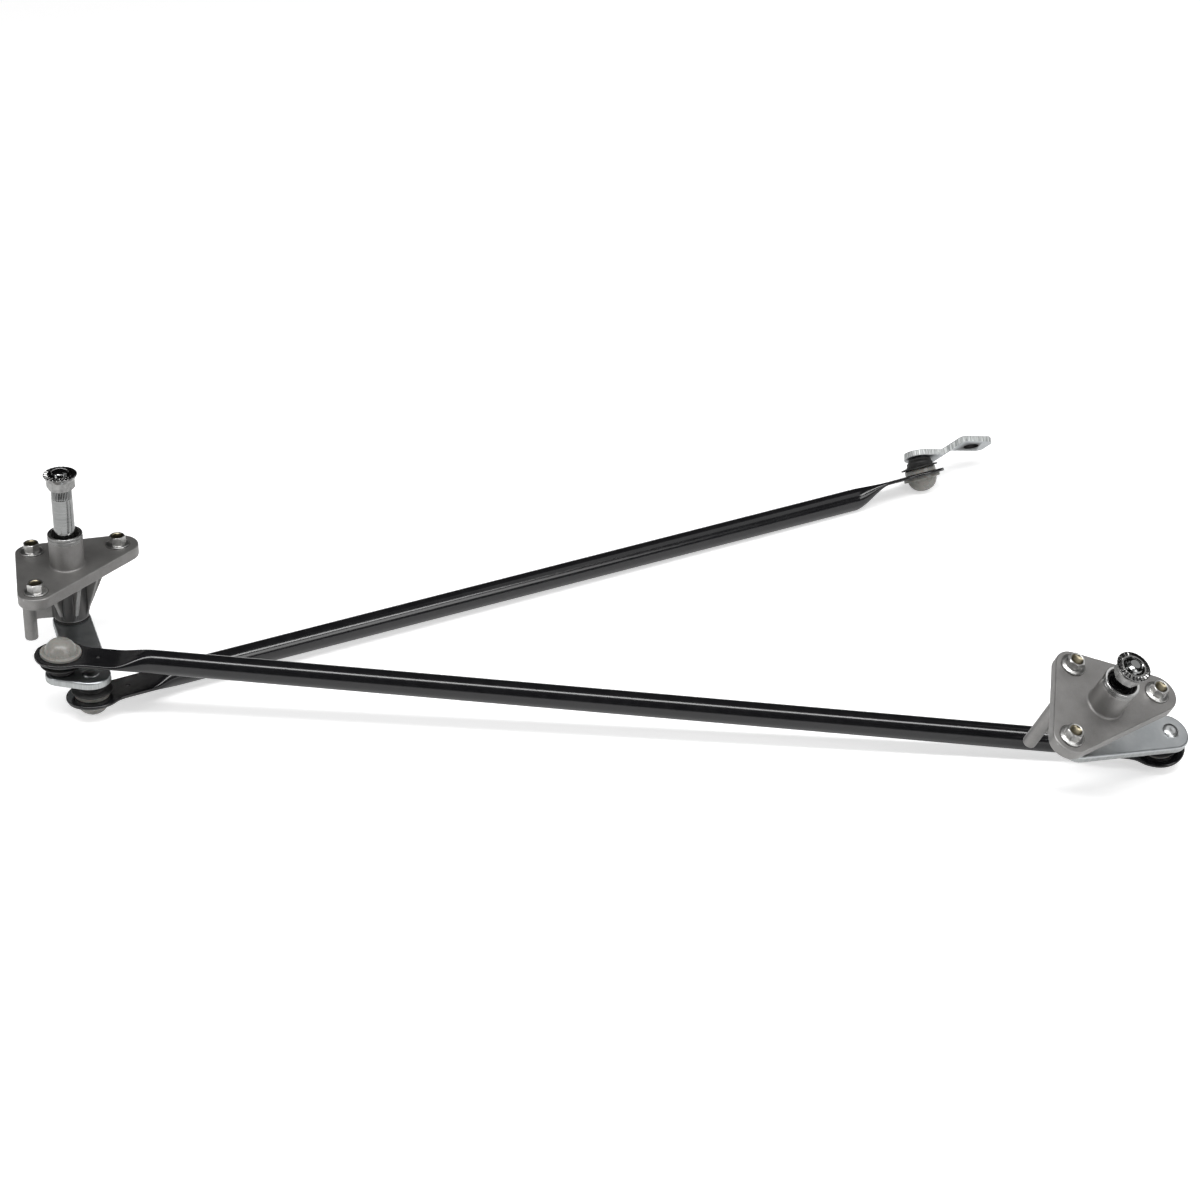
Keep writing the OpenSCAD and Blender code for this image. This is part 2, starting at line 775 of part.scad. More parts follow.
// Centre of the round tube at a link end, in the frame of the whole link
function tube_point(x, side, twist, height) =
    [x + side * round_at, -height * sin(twist), height * cos(twist)];

module link_tube(left_joint, right_joint, left_height, right_height, p, q, twist) {
    length = norm(q - p);
    for (end = [[left_joint, 1, abs(left_height)], [right_joint, -1, right_height]])
        eye_frame(end[0]) {
            link_end(end[1]);
            hull() {
                tongue_slice(end[1]);
                tube_slice(end[1], end[2]);
            }
        }
    along(p, q)
        round_tube(
            tube_point(0, 1, 0, left_height),
            tube_point(length, -1, twist, right_height)
        );
}

// Pressed crank strip, stepped up between its two flats
module crank_strip() {
    bend_out = crank_inner + crank_slope;
    tip = crank_r + crank_end;
    half = crank_w / 2;
    fold = crank_t * tan(atan2(crank_rise, crank_slope) / 2);
    intersection() {
        rotate([90, 0, 0])
            linear_extrude(crank_w, center = true)
                polygon([
                    [-half, 0], [crank_inner, 0], [bend_out, crank_rise], [tip, crank_rise],
                    [tip, crank_rise + crank_t], [bend_out - fold, crank_rise + crank_t],
                    [crank_inner - fold, crank_t], [-half, crank_t]
                ]);
        linear_extrude(crank_rise + crank_t) {
            circle(half);
            polygon([
                [0, -half], [tip - crank_chamfer, -half], [tip, -half + crank_chamfer],
                [tip, half - crank_chamfer], [tip - crank_chamfer, half], [0, half]
            ]);
        }
    }
}

module left_pivot_housing() {
    color("dimgray")
        in_left_casting()
            pivot_housing();
}

module left_upper_bush() {
    color("peru")
        bush(pocket_z - bush_l);
}

module left_lower_bush() {
    color("peru")
        bush(-hub_l);
}

module left_spindle_seal() {
    color("black")
        spindle_seal();
}

module left_boss_ring() {
    color("gainsboro")
        boss_ring();
}

module left_mounting_bolts() {
    color("silver")
        in_left_casting()
            mounting_bolts();
}

module left_spindle() {
    color("whitesmoke")
        spindle(left_nut_top);
}

module left_retaining_clip() {
    color("darkslategray")
        retaining_clip();
}

module left_spindle_nut() {
    color("silver")
        spindle_nut(left_nut_top);
}

module left_thrust_washer() {
    color("black")
        thrust_washer();
}

module left_lever_plate() {
    color("lightsteelblue")
        difference() {
            union() {
                lever_strip([0, 0], lever_hub_r, drive_arm, drive_lobe_r);
                lever_strip(drive_arm, drive_lobe_r, front_arm, front_lobe_r);
            }
            lever_holes([front_arm, drive_arm]);
        }
}

module left_front_ball_stud() {
    color("silver")
        stud_frame(FRONT_LEFT)
            ball_stud(lever_t);
}

module left_drive_ball_stud() {
    color("silver")
        stud_frame(DRIVE_LEFT)
            ball_stud(lever_t);
}

module front_link_tube() {
    color([0.06, 0.06, 0.06])
        link_tube(FRONT_LEFT, FRONT_RIGHT, front_rise - eye_mid, eye_mid - front_step,
            ball_fl, ball_fr, front_twist);
}

module front_left_socket() {
    color("darkgray")
        eye_frame(FRONT_LEFT)
            ball_socket();
}

module front_left_boot() {
    color([0.08, 0.08, 0.08])
        ball_boot(FRONT_LEFT);
}

module front_right_socket() {
    color("darkgray")
        eye_frame(FRONT_RIGHT)
            ball_socket();
}

module front_right_boot() {
    color([0.08, 0.08, 0.08])
        ball_boot(FRONT_RIGHT);
}

module right_lever_plate() {
    color("lightsteelblue")
        in_right_pivot()
            difference() {
                lever_strip([0, 0], lever_hub_r, right_arm, right_lobe_r);
                lever_holes([right_arm]);
            }
}

module right_ball_stud() {
    color("silver")
        stud_frame(FRONT_RIGHT)
            ball_stud(lever_t);
}

module right_spindle() {
    color("whitesmoke")
        in_right_pivot()
            spindle(right_nut_top);
}

module right_retaining_clip() {
    color("darkslategray")
        in_right_pivot()
            retaining_clip();
}

module right_spindle_nut() {
    color("silver")
        in_right_pivot()
            spindle_nut(right_nut_top);
}

module right_thrust_washer() {
    color("black")
        in_right_pivot()
            thrust_washer();
}

module right_pivot_housing() {
    color("dimgray")
        in_right_pivot()
            pivot_housing();
}

module right_upper_bush() {
    color("peru")
        in_right_pivot()
            bush(pocket_z - bush_l);
}

module right_lower_bush() {
    color("peru")
        in_right_pivot()
            bush(-hub_l);
}

module right_spindle_seal() {
    color("black")
        in_right_pivot()
            spindle_seal();
}

module right_boss_ring() {
    color("gainsboro")
        in_right_pivot()
            boss_ring();
}

module right_mounting_bolts() {
    color("silver")
        in_right_pivot()
            mounting_bolts();
}

module drive_link_tube() {
    color([0.06, 0.06, 0.06])
        link_tube(DRIVE_LEFT, DRIVE_RIGHT, eye_mid, eye_mid - drive_step, ball_dl, ball_dr, drive_twist);
}

module drive_left_socket() {
    color("darkgray")
        eye_frame(DRIVE_LEFT)
            ball_socket();
}

module drive_left_boot() {
    color([0.08, 0.08, 0.08])
        ball_boot(DRIVE_LEFT);
}

module drive_right_socket() {
    color("gainsboro")
        eye_frame(DRIVE_RIGHT)
            ball_socket();
}

module drive_right_boot() {
    color([0.08, 0.08, 0.08])
        ball_boot(DRIVE_RIGHT);
}

module crank_arm() {
    color("gainsboro")
        stud_frame(DRIVE_RIGHT)
            translate([0, 0, ball_drop])
                difference() {
                    crank_strip();
                    translate([0, 0, -cut])
                        cylinder(d = stud_d, h = crank_t + 2 * cut);
                    translate([crank_r, 0, crank_rise - cut])
                        cylinder(d = crank_hole_d, h = crank_t + 2 * cut);
                }
}

module crank_ball_stud() {
    color("silver")
        stud_frame(DRIVE_RIGHT)
            ball_stud(crank_t);
}

left_pivot_housing();
left_upper_bush();
left_lower_bush();
left_spindle_seal();
left_boss_ring();
left_mounting_bolts();
left_spindle();
left_retaining_clip();
left_spindle_nut();
left_thrust_washer();
left_lever_plate();
left_front_ball_stud();
left_drive_ball_stud();
front_link_tube();
front_left_socket();
front_left_boot();
front_right_socket();
front_right_boot();
right_lever_plate();
right_ball_stud();
right_spindle();
right_retaining_clip();
right_spindle_nut();
right_thrust_washer();
right_pivot_housing();
right_upper_bush();
right_lower_bush();
right_spindle_seal();
right_boss_ring();
right_mounting_bolts();
drive_link_tube();
drive_left_socket();
drive_left_boot();
drive_right_socket();
drive_right_boot();
crank_arm();
crank_ball_stud();
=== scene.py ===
# %% [markdown]
# # A windscreen wiper linkage
#
# This lesson dresses the bare mechanism that swings two wiper arms. It has two die-cast pivots, two
# steel levers, two black tubes with flattened ends, four ball joints and a stepped motor crank.
# The CAD model gives every place and size. Blender adds what CAD leaves out: cast skin, rolled
# edges, threads, plating and rubber.
#
# Every piece is modelled in millimetres, in the frame of the thing that carries it, because that is
# how the drawing of each piece reads. One helper turns it into metres and puts it in its place.

import math

import bmesh
import bpy
from mathutils import Euler, Matrix, Vector


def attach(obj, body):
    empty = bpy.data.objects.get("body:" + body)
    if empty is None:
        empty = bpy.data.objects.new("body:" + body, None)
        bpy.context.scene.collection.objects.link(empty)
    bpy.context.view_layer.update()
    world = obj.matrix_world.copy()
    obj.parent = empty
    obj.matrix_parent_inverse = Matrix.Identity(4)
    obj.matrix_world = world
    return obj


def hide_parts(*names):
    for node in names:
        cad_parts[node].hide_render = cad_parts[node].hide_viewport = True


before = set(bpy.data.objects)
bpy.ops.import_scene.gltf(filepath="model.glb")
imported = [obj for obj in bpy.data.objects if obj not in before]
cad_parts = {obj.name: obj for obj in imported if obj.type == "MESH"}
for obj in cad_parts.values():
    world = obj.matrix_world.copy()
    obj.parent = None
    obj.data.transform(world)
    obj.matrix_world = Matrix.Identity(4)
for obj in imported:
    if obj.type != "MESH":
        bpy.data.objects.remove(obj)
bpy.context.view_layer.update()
scene = bpy.context.scene
scene.view_settings.view_transform = "Standard"
MM = 0.001

# %% [markdown]
# ## Where things are
#
# The linkage is a chain, so each joint follows from the one before it. The left spindle stands at
# the origin. Its lever carries two balls, each link runs from one of them, and the far pieces hang
# on the far balls. We repeat the drawing's few lengths and angles and work the rest out, which keeps
# the pieces on their joints if a length ever changes.

# %% Joint places
lever_radius, drive_radius = 65.0, 70.5
front_length, drive_length = 632.7, 582.8
lever_top, lever_bottom = -36.0, -40.5
ball_drop = 12.2
eye_face, eye_thickness = 0.5, 2.2
eye_middle = eye_face + eye_thickness / 2
front_twist, drive_twist = math.radians(19.4), math.radians(-31.0)


def polar(radius, degrees, height=0.0):
    angle = math.radians(degrees)
    return Vector((radius * math.cos(angle), radius * math.sin(angle), height))


def turned(x, y, z):
    return Euler([math.radians(a) for a in (x, y, z)], "XYZ").to_matrix().to_4x4()


right_turn = turned(20.7, 20.7, 1.3)
crank_turn = turned(-42.5, 10.5, 20.5)
front_arm = polar(lever_radius, -87.2)
drive_arm = polar(drive_radius, -87.2 + 13.8)
right_arm = polar(lever_radius, 26.9)
ball_front_left = front_arm + Vector((0, 0, lever_top + ball_drop))
ball_drive_left = drive_arm + Vector((0, 0, lever_bottom - ball_drop))
front_fall = ball_drive_left.z - ball_front_left.z
front_run = math.sqrt(front_length**2 - front_fall**2)
ball_front_right = ball_front_left + polar(front_run, -5.33, front_fall)
ball_drive_right = ball_drive_left + polar(drive_length, 29.6)
right_origin = ball_front_right - right_turn @ (right_arm + Vector((0, 0, lever_bottom - ball_drop)))
print("right pivot at", [round(v, 2) for v in right_origin])

# %% [markdown]
# ## Frames
#
# A frame is a matrix: where a piece's own origin goes and how its axes lie. Castings and levers use
# the frame of their spindle. Each ball joint has two frames on the same centre. One is square to the
# flattened tube end, the eye, and the other follows the stud in the lever. In both, +Z points from
# the ball to the lever.

# %% Frames of pivots, links and ball joints


def along(start, end):
    run = end - start
    tilt = -math.degrees(math.asin(run.z / run.length))
    return Matrix.Translation(start) @ turned(0, tilt, math.degrees(math.atan2(run.y, run.x)))


upside_down = turned(180, 0, 0)
left_spindle_frame = Matrix.Identity(4)
left_casting_frame = turned(0, 0, 10.9)
right_pivot_frame = Matrix.Translation(right_origin) @ right_turn
front_frame = along(ball_front_left, ball_front_right)
drive_frame = along(ball_drive_left, ball_drive_right)

eye_frames = {
    "front_left": front_frame @ upside_down,
    "front_right": front_frame
    @ Matrix.Translation((front_length, 0, 0))
    @ Matrix.Rotation(front_twist, 4, "X"),
    "drive_left": drive_frame,
    "drive_right": drive_frame
    @ Matrix.Translation((drive_length, 0, 0))
    @ Matrix.Rotation(drive_twist, 4, "X"),
}
stud_frames = {
    "front_left": Matrix.Translation(ball_front_left) @ upside_down,
    "front_right": Matrix.Translation(ball_front_right) @ right_turn,
    "drive_left": Matrix.Translation(ball_drive_left),
    "drive_right": Matrix.Translation(ball_drive_right) @ crank_turn,
}
casting_frames = {"left": left_casting_frame, "right": right_pivot_frame}
spindle_frames = {"left": left_spindle_frame, "right": right_pivot_frame}
for name in eye_frames:
    lean = eye_frames[name].col[2].xyz.angle(stud_frames[name].col[2].xyz)
    print(f"{name}: the stud leans {math.degrees(lean):.1f} degrees in its socket")

# %% [markdown]
# ## Skins over rings
#
# Nearly everything here is turned, rolled or drawn, so nearly everything can be made the same way:
# a row of rings, each with as many points as the next, and a skin of four-sided faces between them.
# A turned piece is a row of circles. A flattened tube is a row of sections that change from round to
# flat. We keep that one idea and write three small helpers for it.

# %% Rings, skins and rounded corners


def skin(rings, closed=False):
    """Faces between neighbouring rings. A closed row joins its last ring to its first."""
    count, rows = len(rings[0]), len(rings)
    points = [p for ring in rings for p in ring]
    faces = []
    for k in range(rows if closed else rows - 1):
        a, b = k * count, (k + 1) % rows * count
        faces += [(a + i, a + (i + 1) % count, b + (i + 1) % count, b + i) for i in range(count)]
    if not closed:
        faces.append(tuple(range(count - 1, -1, -1)))
        faces.append(tuple(range((rows - 1) * count, rows * count)))
    return points, faces


def rounded(corners, steps=5):
    """A path through (x, y, radius) corners, each turned with an arc of its radius."""
    path = []
    for before, corner, after in zip([corners[-1]] + corners, corners, corners[1:] + [corners[0]]):
        p, a, b = (Vector(c[:2]) for c in (corner, before, after))
        into, out = (a - p).normalized(), (b - p).normalized()
        half = into.angle(out, math.pi) / 2 if corner[2] else 0
        if half < 0.01 or half > math.pi / 2 - 0.01:
            path.append(tuple(p))
            continue
        reach = min(corner[2] / math.tan(half), 0.49 * (a - p).length, 0.49 * (b - p).length)
        centre = p + (into + out).normalized() * reach / math.cos(half)
        start, end = p + into * reach - centre, p + out * reach - centre
        sweep = start.angle_signed(end)
        for i in range(steps + 1):
            spoke = start.copy()
            spoke.rotate(Matrix.Rotation(-sweep * i / steps, 2))
            path.append(tuple(centre + spoke))
    return path


def lathe(path, closed=False, count=96, shape=None):
    """Turns a path of (radius, height) round Z. shape(angle, radius, height) may move each point."""
    rings = []
    for radius, height in path:
        ring = []
        for i in range(count):
            angle = 2 * math.pi * i / count
            r, z = shape(angle, radius, height) if shape else (radius, height)
            ring.append((max(r, 0.001) * math.cos(angle), max(r, 0.001) * math.sin(angle), z))
        rings.append(ring)
    return skin(rings, closed)


def moved(part, place):
    points, faces = part
    return [tuple(place @ Vector(p)) for p in points], faces


print("a test ring has", len(lathe([(1, 0), (1, 1)])[0]), "points")

# %% [markdown]
# ## From points to a piece
#
# A piece is a mesh object that rides on one body of the mechanism and stands for one CAD solid. Its
# shading is smooth except where faces meet at a real corner. The Weighted Normal modifier lets large
# flat faces keep their own normal, so a rolled edge begins where the flat ends, and doesn't smear
# into it.

# %% Piece builder


def mesh_of(name, parts):
    """One mesh, in metres, from parts that are in millimetres."""
    form = bmesh.new()
    for points, faces in parts:
        made = [form.verts.new([c * MM for c in p]) for p in points]
        for face in faces:
            form.faces.new([made[i] for i in face])
    bmesh.ops.remove_doubles(form, verts=form.verts, dist=1e-7)
    bmesh.ops.recalc_face_normals(form, faces=form.faces)
    mesh = bpy.data.meshes.new(name)
    form.to_mesh(mesh)
    form.free()
    return mesh


def in_metres(place):
    placed = place.copy()
    placed.translation *= MM
    return placed


def add_piece(name, body, finish, mesh, place, corner=32):
    """Puts a mesh in its place, as the piece that stands for the CAD solid of the same name."""
    piece = bpy.data.objects.new(name + "_skin", mesh)
    scene.collection.objects.link(piece)
    piece.matrix_world = in_metres(place)
    mesh.polygons.foreach_set("use_smooth", [True] * len(mesh.polygons))
    mesh.set_sharp_from_angle(angle=math.radians(corner))
    mesh.materials.clear()
    mesh.materials.append(finish)
    flats = piece.modifiers.new("flat faces first", "WEIGHTED_NORMAL")
    flats.keep_sharp = True
    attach(piece, body)
    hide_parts(name)
    print(f"{name}: {len(mesh.vertices)} points on {body}")
    return piece


def cut_out(mesh, cutter_parts):
    """The mesh with the cutter's parts taken away, as a drill or a mill would."""
    stock = bpy.data.objects.new("stock", mesh)
    tool = bpy.data.objects.new("tool", mesh_of("tool", cutter_parts))
    for thing in (stock, tool):
        scene.collection.objects.link(thing)
    cut = stock.modifiers.new("cut", "BOOLEAN")
    cut.operation, cut.solver, cut.object = "DIFFERENCE", "EXACT", tool
    bpy.context.view_layer.update()
    ready = stock.evaluated_get(bpy.context.evaluated_depsgraph_get())
    result = bpy.data.meshes.new_from_object(ready)
    for thing in (stock, tool):
        bpy.data.objects.remove(thing)
    return result


def mark(mesh, name, inside):
    """Writes a point attribute: 1 at points for which inside(point in millimetres) is true."""
    values = mesh.attributes.new(name, "FLOAT", "POINT").data
    for point in mesh.vertices:
        values[point.index].value = float(inside(point.co / MM))


# %% [markdown]
# ## Shader maths as plain expressions
#
# A finish is a small sum: this much grain, that much wear, darker in the grooves. Written as nodes,
# a sum is hard to read. The class below wraps a node's output, so that `grain * 0.4 + wear` adds the
# Math nodes by itself. Its one method `node` makes any other node: type, settings, then sockets.
# Sockets go by name, except on the Mix node, where several share a name and only a number tells the
# colour ones apart.

# %% A wire that can be added and multiplied
MIX_COLOUR_A, MIX_COLOUR_B, MIX_COLOUR_RESULT = 6, 7, 2


class Wire:
    """One output of a node tree, with arithmetic."""

    def __init__(self, tree, socket=None):
        self.tree, self.socket = tree, socket

    def feed(self, socket, value):
        if isinstance(value, Wire):
            self.tree.links.new(value.socket, socket)
        else:
            socket.default_value = value

    def node(self, kind, settings=None, sockets=None, out=0):
        made = self.tree.nodes.new(kind)
        for key, value in (settings or {}).items():
            setattr(made, key, value)
        for key, value in (sockets or {}).items():
            self.feed(made.inputs[key], value)
        return Wire(self.tree, made.outputs[out])

    def maths(self, operation, *values):
        return self.node("ShaderNodeMath", {"operation": operation}, dict(enumerate(values)))

    def __add__(self, other):
        return self.maths("ADD", self, other)

    def __sub__(self, other):
        return self.maths("SUBTRACT", self, other)

    def __mul__(self, other):
        return self.maths("MULTIPLY", self, other)

    def __rsub__(self, other):
        return self.maths("SUBTRACT", other, self)

    __radd__, __rmul__ = __add__, __mul__

    def mix(self, low, high):
        """Colour between two others, by this wire."""
        sockets = {"Factor": self, MIX_COLOUR_A: low, MIX_COLOUR_B: high}
        return self.node("ShaderNodeMix", {"data_type": "RGBA"}, sockets, MIX_COLOUR_RESULT)

    def marked(self, name):
        """1 where the mesh carries a mark of this name, and 0 elsewhere."""
        return self.node("ShaderNodeAttribute", {"attribute_name": name}, out="Fac")

    def within(self, low, high):
        """0 below low, 1 above high, and even between."""
        sockets = {"Value": self, "From Min": low, "From Max": high}
        return self.node("ShaderNodeMapRange", {"clamp": True}, sockets)

    def noise(self, scale, detail=3.0, stretch=(1, 1, 1), rough=0.55):
        """Noise in the piece's own frame; scale is in grains per metre."""
        place = self.node("ShaderNodeTexCoord", out="Object")
        place = self.node("ShaderNodeMapping", sockets={"Vector": place, "Scale": stretch})
        sockets = {"Vector": place, "Scale": scale, "Detail": detail, "Roughness": rough}
        return self.node("ShaderNodeTexNoise", sockets=sockets)

    def bump(self, height, depth, strength=1.0):
        sockets = {"Height": height, "Distance": depth, "Strength": strength}
        return self.node("ShaderNodeBump", sockets=sockets)


def new_finish(name, constants):
    """A material, its main shader with constant values set, and a first wire."""
    material = bpy.data.materials.new(name)
    material.use_nodes = True
    shader = material.node_tree.nodes["Principled BSDF"]
    for socket, value in constants.items():
        shader.inputs[socket].default_value = value
    return material, shader.inputs, Wire(material.node_tree)


def tell(*finishes):
    for finish in finishes:
        print(f"{finish.name}: {len(finish.node_tree.nodes)} nodes")


# %% [markdown]
# ## Cast alloy
#
# The pivots are die-cast and left raw. The skin is warm dark grey with a fine grain like orange peel,
# blotches where the metal chilled first, and rubbed edges painted lighter, partly as wear and partly
# as a painted highlight. It could be a plain dark metal, but grain is what makes a casting read as one.
# Pointiness finds convex edges for the rubbing and the painted highlight, and it works because the
# casting's mesh is dense. Between the ribs, under the plate, the mesh marks the skin and the finish
# paints it near black: painted shade.

# %% Cast alloy finish


def cast_alloy_finish():
    material, surface, wire = new_finish("cast_alloy", {"Metallic": 0.7})
    grain = wire.noise(1500, 4)
    blotch = wire.noise(90, 3)
    # convex edges painted lighter: partly wear, partly a painted highlight
    worn_edge_and_highlight = wire.node("ShaderNodeNewGeometry", out="Pointiness").within(0.51, 0.58)
    tone = (0.6 * blotch + 0.4 * grain).within(0.3, 0.7)
    skin_colour = tone.mix((0.23, 0.225, 0.22, 1), (0.32, 0.313, 0.306, 1))
    colour = (worn_edge_and_highlight * (0.2 + 0.5 * grain)).mix(skin_colour, (0.5, 0.495, 0.485, 1))
    # painted shade: the marked skin between the ribs turns near black
    painted_rib_shade = wire.marked("painted_rib_shade")
    wire.feed(surface["Base Color"], (0.75 * painted_rib_shade).mix(colour, (0.05, 0.05, 0.05, 1)))
    wire.feed(surface["Roughness"], 0.38 + 0.14 * grain - 0.08 * worn_edge_and_highlight)
    wire.feed(surface["Normal"], wire.bump(grain + 0.5 * wire.noise(420, 2), 0.00006, 0.7))
    return material


cast_alloy = cast_alloy_finish()
tell(cast_alloy)

# %% [markdown]
# ## Zinc plate, and how it shows a sheared edge
#
# Levers and crank are punched from strip and zinc plated. The flat shows a satin, slightly blue
# cloud. The edge shows the punch: a bright sheared band and then torn metal, with fine lines through
# the thickness. Both can come from one material. The piece's own normal tells flat from edge, and
# noise that is squeezed along the outline and long through the thickness draws the lines. The value
# torn says how much of the edge is torn: little on the levers, all of it on the crank, whose edge is
# duller for it. The crank's hole is marked as bore, and the finish paints its wall near black as
# painted shade inside the hole.

# %% Zinc plate finish


def zinc_plate_finish(name, torn):
    material, surface, wire = new_finish(name, {"Metallic": 1.0})
    bore = wire.marked("bore")
    normal = wire.node("ShaderNodeTexCoord", out="Normal")
    up = wire.node("ShaderNodeSeparateXYZ", sockets={"Vector": normal}, out="Z")
    side = (1 - wire.maths("ABSOLUTE", up)).within(0.35, 0.8)
    cloud = wire.noise(70, 4)
    grain = wire.noise(900, 3, (1, 0.12, 1))
    tear = wire.noise(1300, 3, (1, 1, 0.06))
    flat_colour = cloud.within(0.3, 0.7).mix((0.48, 0.505, 0.52, 1), (0.63, 0.65, 0.66, 1))
    line = torn * tear.within(0.38, 0.6) + (1 - torn) * 0.1
    edge_colour = line.mix((0.36, 0.375, 0.375, 1), (0.86, 0.88, 0.87, 1))
    plated = side.mix(flat_colour, edge_colour)
    # painted shade: the wall of a hole marked as bore is painted near black
    wire.feed(surface["Base Color"], bore.mix(plated, (0.03, 0.03, 0.03, 1)))
    edge_rough = side * (0.1 * tear + 0.25 * torn)
    wire.feed(surface["Roughness"], 0.26 + 0.14 * cloud + 0.06 * grain + edge_rough)
    height = side * tear * torn + (1 - side) * (0.12 * grain + 0.2 * cloud)
    wire.feed(surface["Normal"], wire.bump(height, 0.00014, 0.7))
    return material


zinc_plate = zinc_plate_finish("zinc_plate", 0.2)
crank_zinc = zinc_plate_finish("crank_zinc", 1.0)
tell(zinc_plate, crank_zinc)

# %% [markdown]
# ## Bright fasteners
#
# Bolts and nuts carry a thinner zinc with a faint yellow passivation. It pools in the dished heads,
# which look gold, and wears off corners. The mesh marks the dishes in a point attribute named dish,
# because no coordinate tells one of three bolt heads from another. The valleys of the nuts' serrated
# faces are marked too and painted near black, as painted shade. The nuts are greyer and smoother than
# the bolts.

# %% Fastener finish


def fastener_finish(name, rough, dark, light):
    material, surface, wire = new_finish(name, {"Metallic": 1.0})
    dish = wire.marked("dish")
    cloud = wire.noise(260, 4)
    scratch = wire.noise(1500, 2, (1, 1, 0.25))
    bright = cloud.within(0.3, 0.7).mix((*dark, 1), (*light, 1))
    gold = cloud.within(0.3, 0.7).mix((0.18, 0.155, 0.1, 1), (0.34, 0.305, 0.22, 1))
    # painted shade: the marked valleys of the serrated face are painted near black
    groove = wire.marked("groove")
    plated = groove.mix(dish.mix(bright, gold), (0.035, 0.035, 0.036, 1))
    wire.feed(surface["Base Color"], plated)
    wire.feed(surface["Roughness"], rough + 0.12 * cloud + 0.06 * scratch + 0.2 * groove)
    wire.feed(surface["Normal"], wire.bump(scratch + cloud, 0.00005, 0.5))
    return material


bolt_zinc = fastener_finish("bolt_zinc", 0.24, (0.46, 0.46, 0.455), (0.74, 0.735, 0.715))
nut_zinc = fastener_finish("nut_zinc", 0.1, (0.2, 0.2, 0.198), (0.36, 0.358, 0.35))
tell(bolt_zinc, nut_zinc)

# %% [markdown]
# ## Ground spindle and turned steel
#
# The spindles are ground and plated, so they mirror the pale floor. Grinding leaves very fine rings.
# The ball studs are only turned, so their rings are coarser and they are duller. One recipe serves
# both, and also the pressed ring, the spring clip and the bushes. Two marks add to it: one paints the
# valleys of the spindle's serration near black, as painted shade, and lip paints the two edges of the
# pressed ring near white, as painted highlights.

# %% Turned steel finishes


def turned_steel_finish(name, dark, light, rough, depth):
    material, surface, wire = new_finish(name, {"Metallic": 1.0})
    rings = wire.noise(2600, 2, (0.03, 0.03, 1))
    smear = wire.noise(130, 4)
    tone = (0.5 * rings + 0.5 * smear).within(0.3, 0.7)
    # painted shade: marked valleys of the serration are painted near black
    groove = wire.marked("groove")
    # painted highlight: the marked edges of the pressed ring are painted near white
    lip = wire.marked("lip")
    tone_and_lip_highlight = lip.mix(tone.mix((*dark, 1), (*light, 1)), (0.9, 0.9, 0.89, 1))
    wire.feed(surface["Base Color"], groove.mix(tone_and_lip_highlight, (0.03, 0.03, 0.03, 1)))
    wire.feed(surface["Roughness"], rough * (0.7 + 0.6 * smear))
    wire.feed(surface["Normal"], wire.bump(rings + 0.4 * smear, depth, 0.6))
    return material


ground_chrome, stud_steel, ring_steel, spring_steel, bush_bronze = (
    turned_steel_finish(*recipe)
    for recipe in (
        ("ground_chrome", (0.22, 0.225, 0.225), (0.36, 0.365, 0.36), 0.14, 0.00001),
        ("stud_steel", (0.5, 0.52, 0.53), (0.7, 0.71, 0.71), 0.32, 0.00005),
        ("ring_steel", (0.2, 0.2, 0.197), (0.32, 0.32, 0.315), 0.3, 0.00003),
        ("spring_steel", (0.1, 0.1, 0.11), (0.2, 0.2, 0.21), 0.35, 0.00003),
        ("bush_bronze", (0.36, 0.24, 0.12), (0.52, 0.37, 0.2), 0.4, 0.00003),
    )
)
tell(ground_chrome, stud_steel, ring_steel, spring_steel, bush_bronze)

# %% [markdown]
# ## Black coat, rubber and nylon
#
# The tubes wear a satin black coat that lies almost level, with the slight waviness of a dipped
# paint. Boots and seals are black rubber, duller and a little dusty. The sockets are natural nylon
# that has greyed: it lets some light in, so it gets a little subsurface scattering. All three are
# dielectrics, so their colour comes from below a clear gloss.

# %% Black coat, rubber and nylon finishes


def black_coat_finish():
    material, surface, wire = new_finish("black_coat", {"Specular IOR Level": 0.6})
    wave = wire.noise(160, 3)
    speck = wire.noise(1100, 3)
    dust = speck.within(0.6, 0.8)
    tone = (0.5 * wave + 0.25 * dust).within(0.2, 0.7)
    wire.feed(surface["Base Color"], tone.mix((0.008, 0.008, 0.009, 1), (0.019, 0.019, 0.02, 1)))
    wire.feed(surface["Roughness"], 0.13 + 0.05 * wave + 0.12 * dust)
    wire.feed(surface["Normal"], wire.bump(wave + 0.15 * speck, 0.00003, 0.5))
    return material


def rubber_finish():
    material, surface, wire = new_finish("boot_rubber", {"Specular IOR Level": 0.4})
    bloom = wire.noise(120, 4)
    pore = wire.noise(1800, 2)
    tone = bloom.within(0.35, 0.75)
    wire.feed(surface["Base Color"], tone.mix((0.012, 0.012, 0.012, 1), (0.032, 0.032, 0.031, 1)))
    wire.feed(surface["Roughness"], 0.4 + 0.15 * bloom + 0.08 * pore)
    wire.feed(surface["Normal"], wire.bump(pore + bloom, 0.00004, 0.6))
    return material


def nylon_finish():
    constants = {"Subsurface Weight": 0.15, "Subsurface Scale": 0.002, "Specular IOR Level": 0.5}
    material, surface, wire = new_finish("socket_nylon", constants)
    haze = wire.noise(110, 4)
    speck = wire.noise(900, 3)
    tone = (0.7 * haze + 0.3 * speck).within(0.3, 0.7)
    wire.feed(surface["Base Color"], tone.mix((0.21, 0.205, 0.19, 1), (0.3, 0.293, 0.272, 1)))
    wire.feed(surface["Roughness"], 0.22 + 0.12 * haze)
    wire.feed(surface["Normal"], wire.bump(haze + 0.3 * speck, 0.00006, 0.5))
    return material


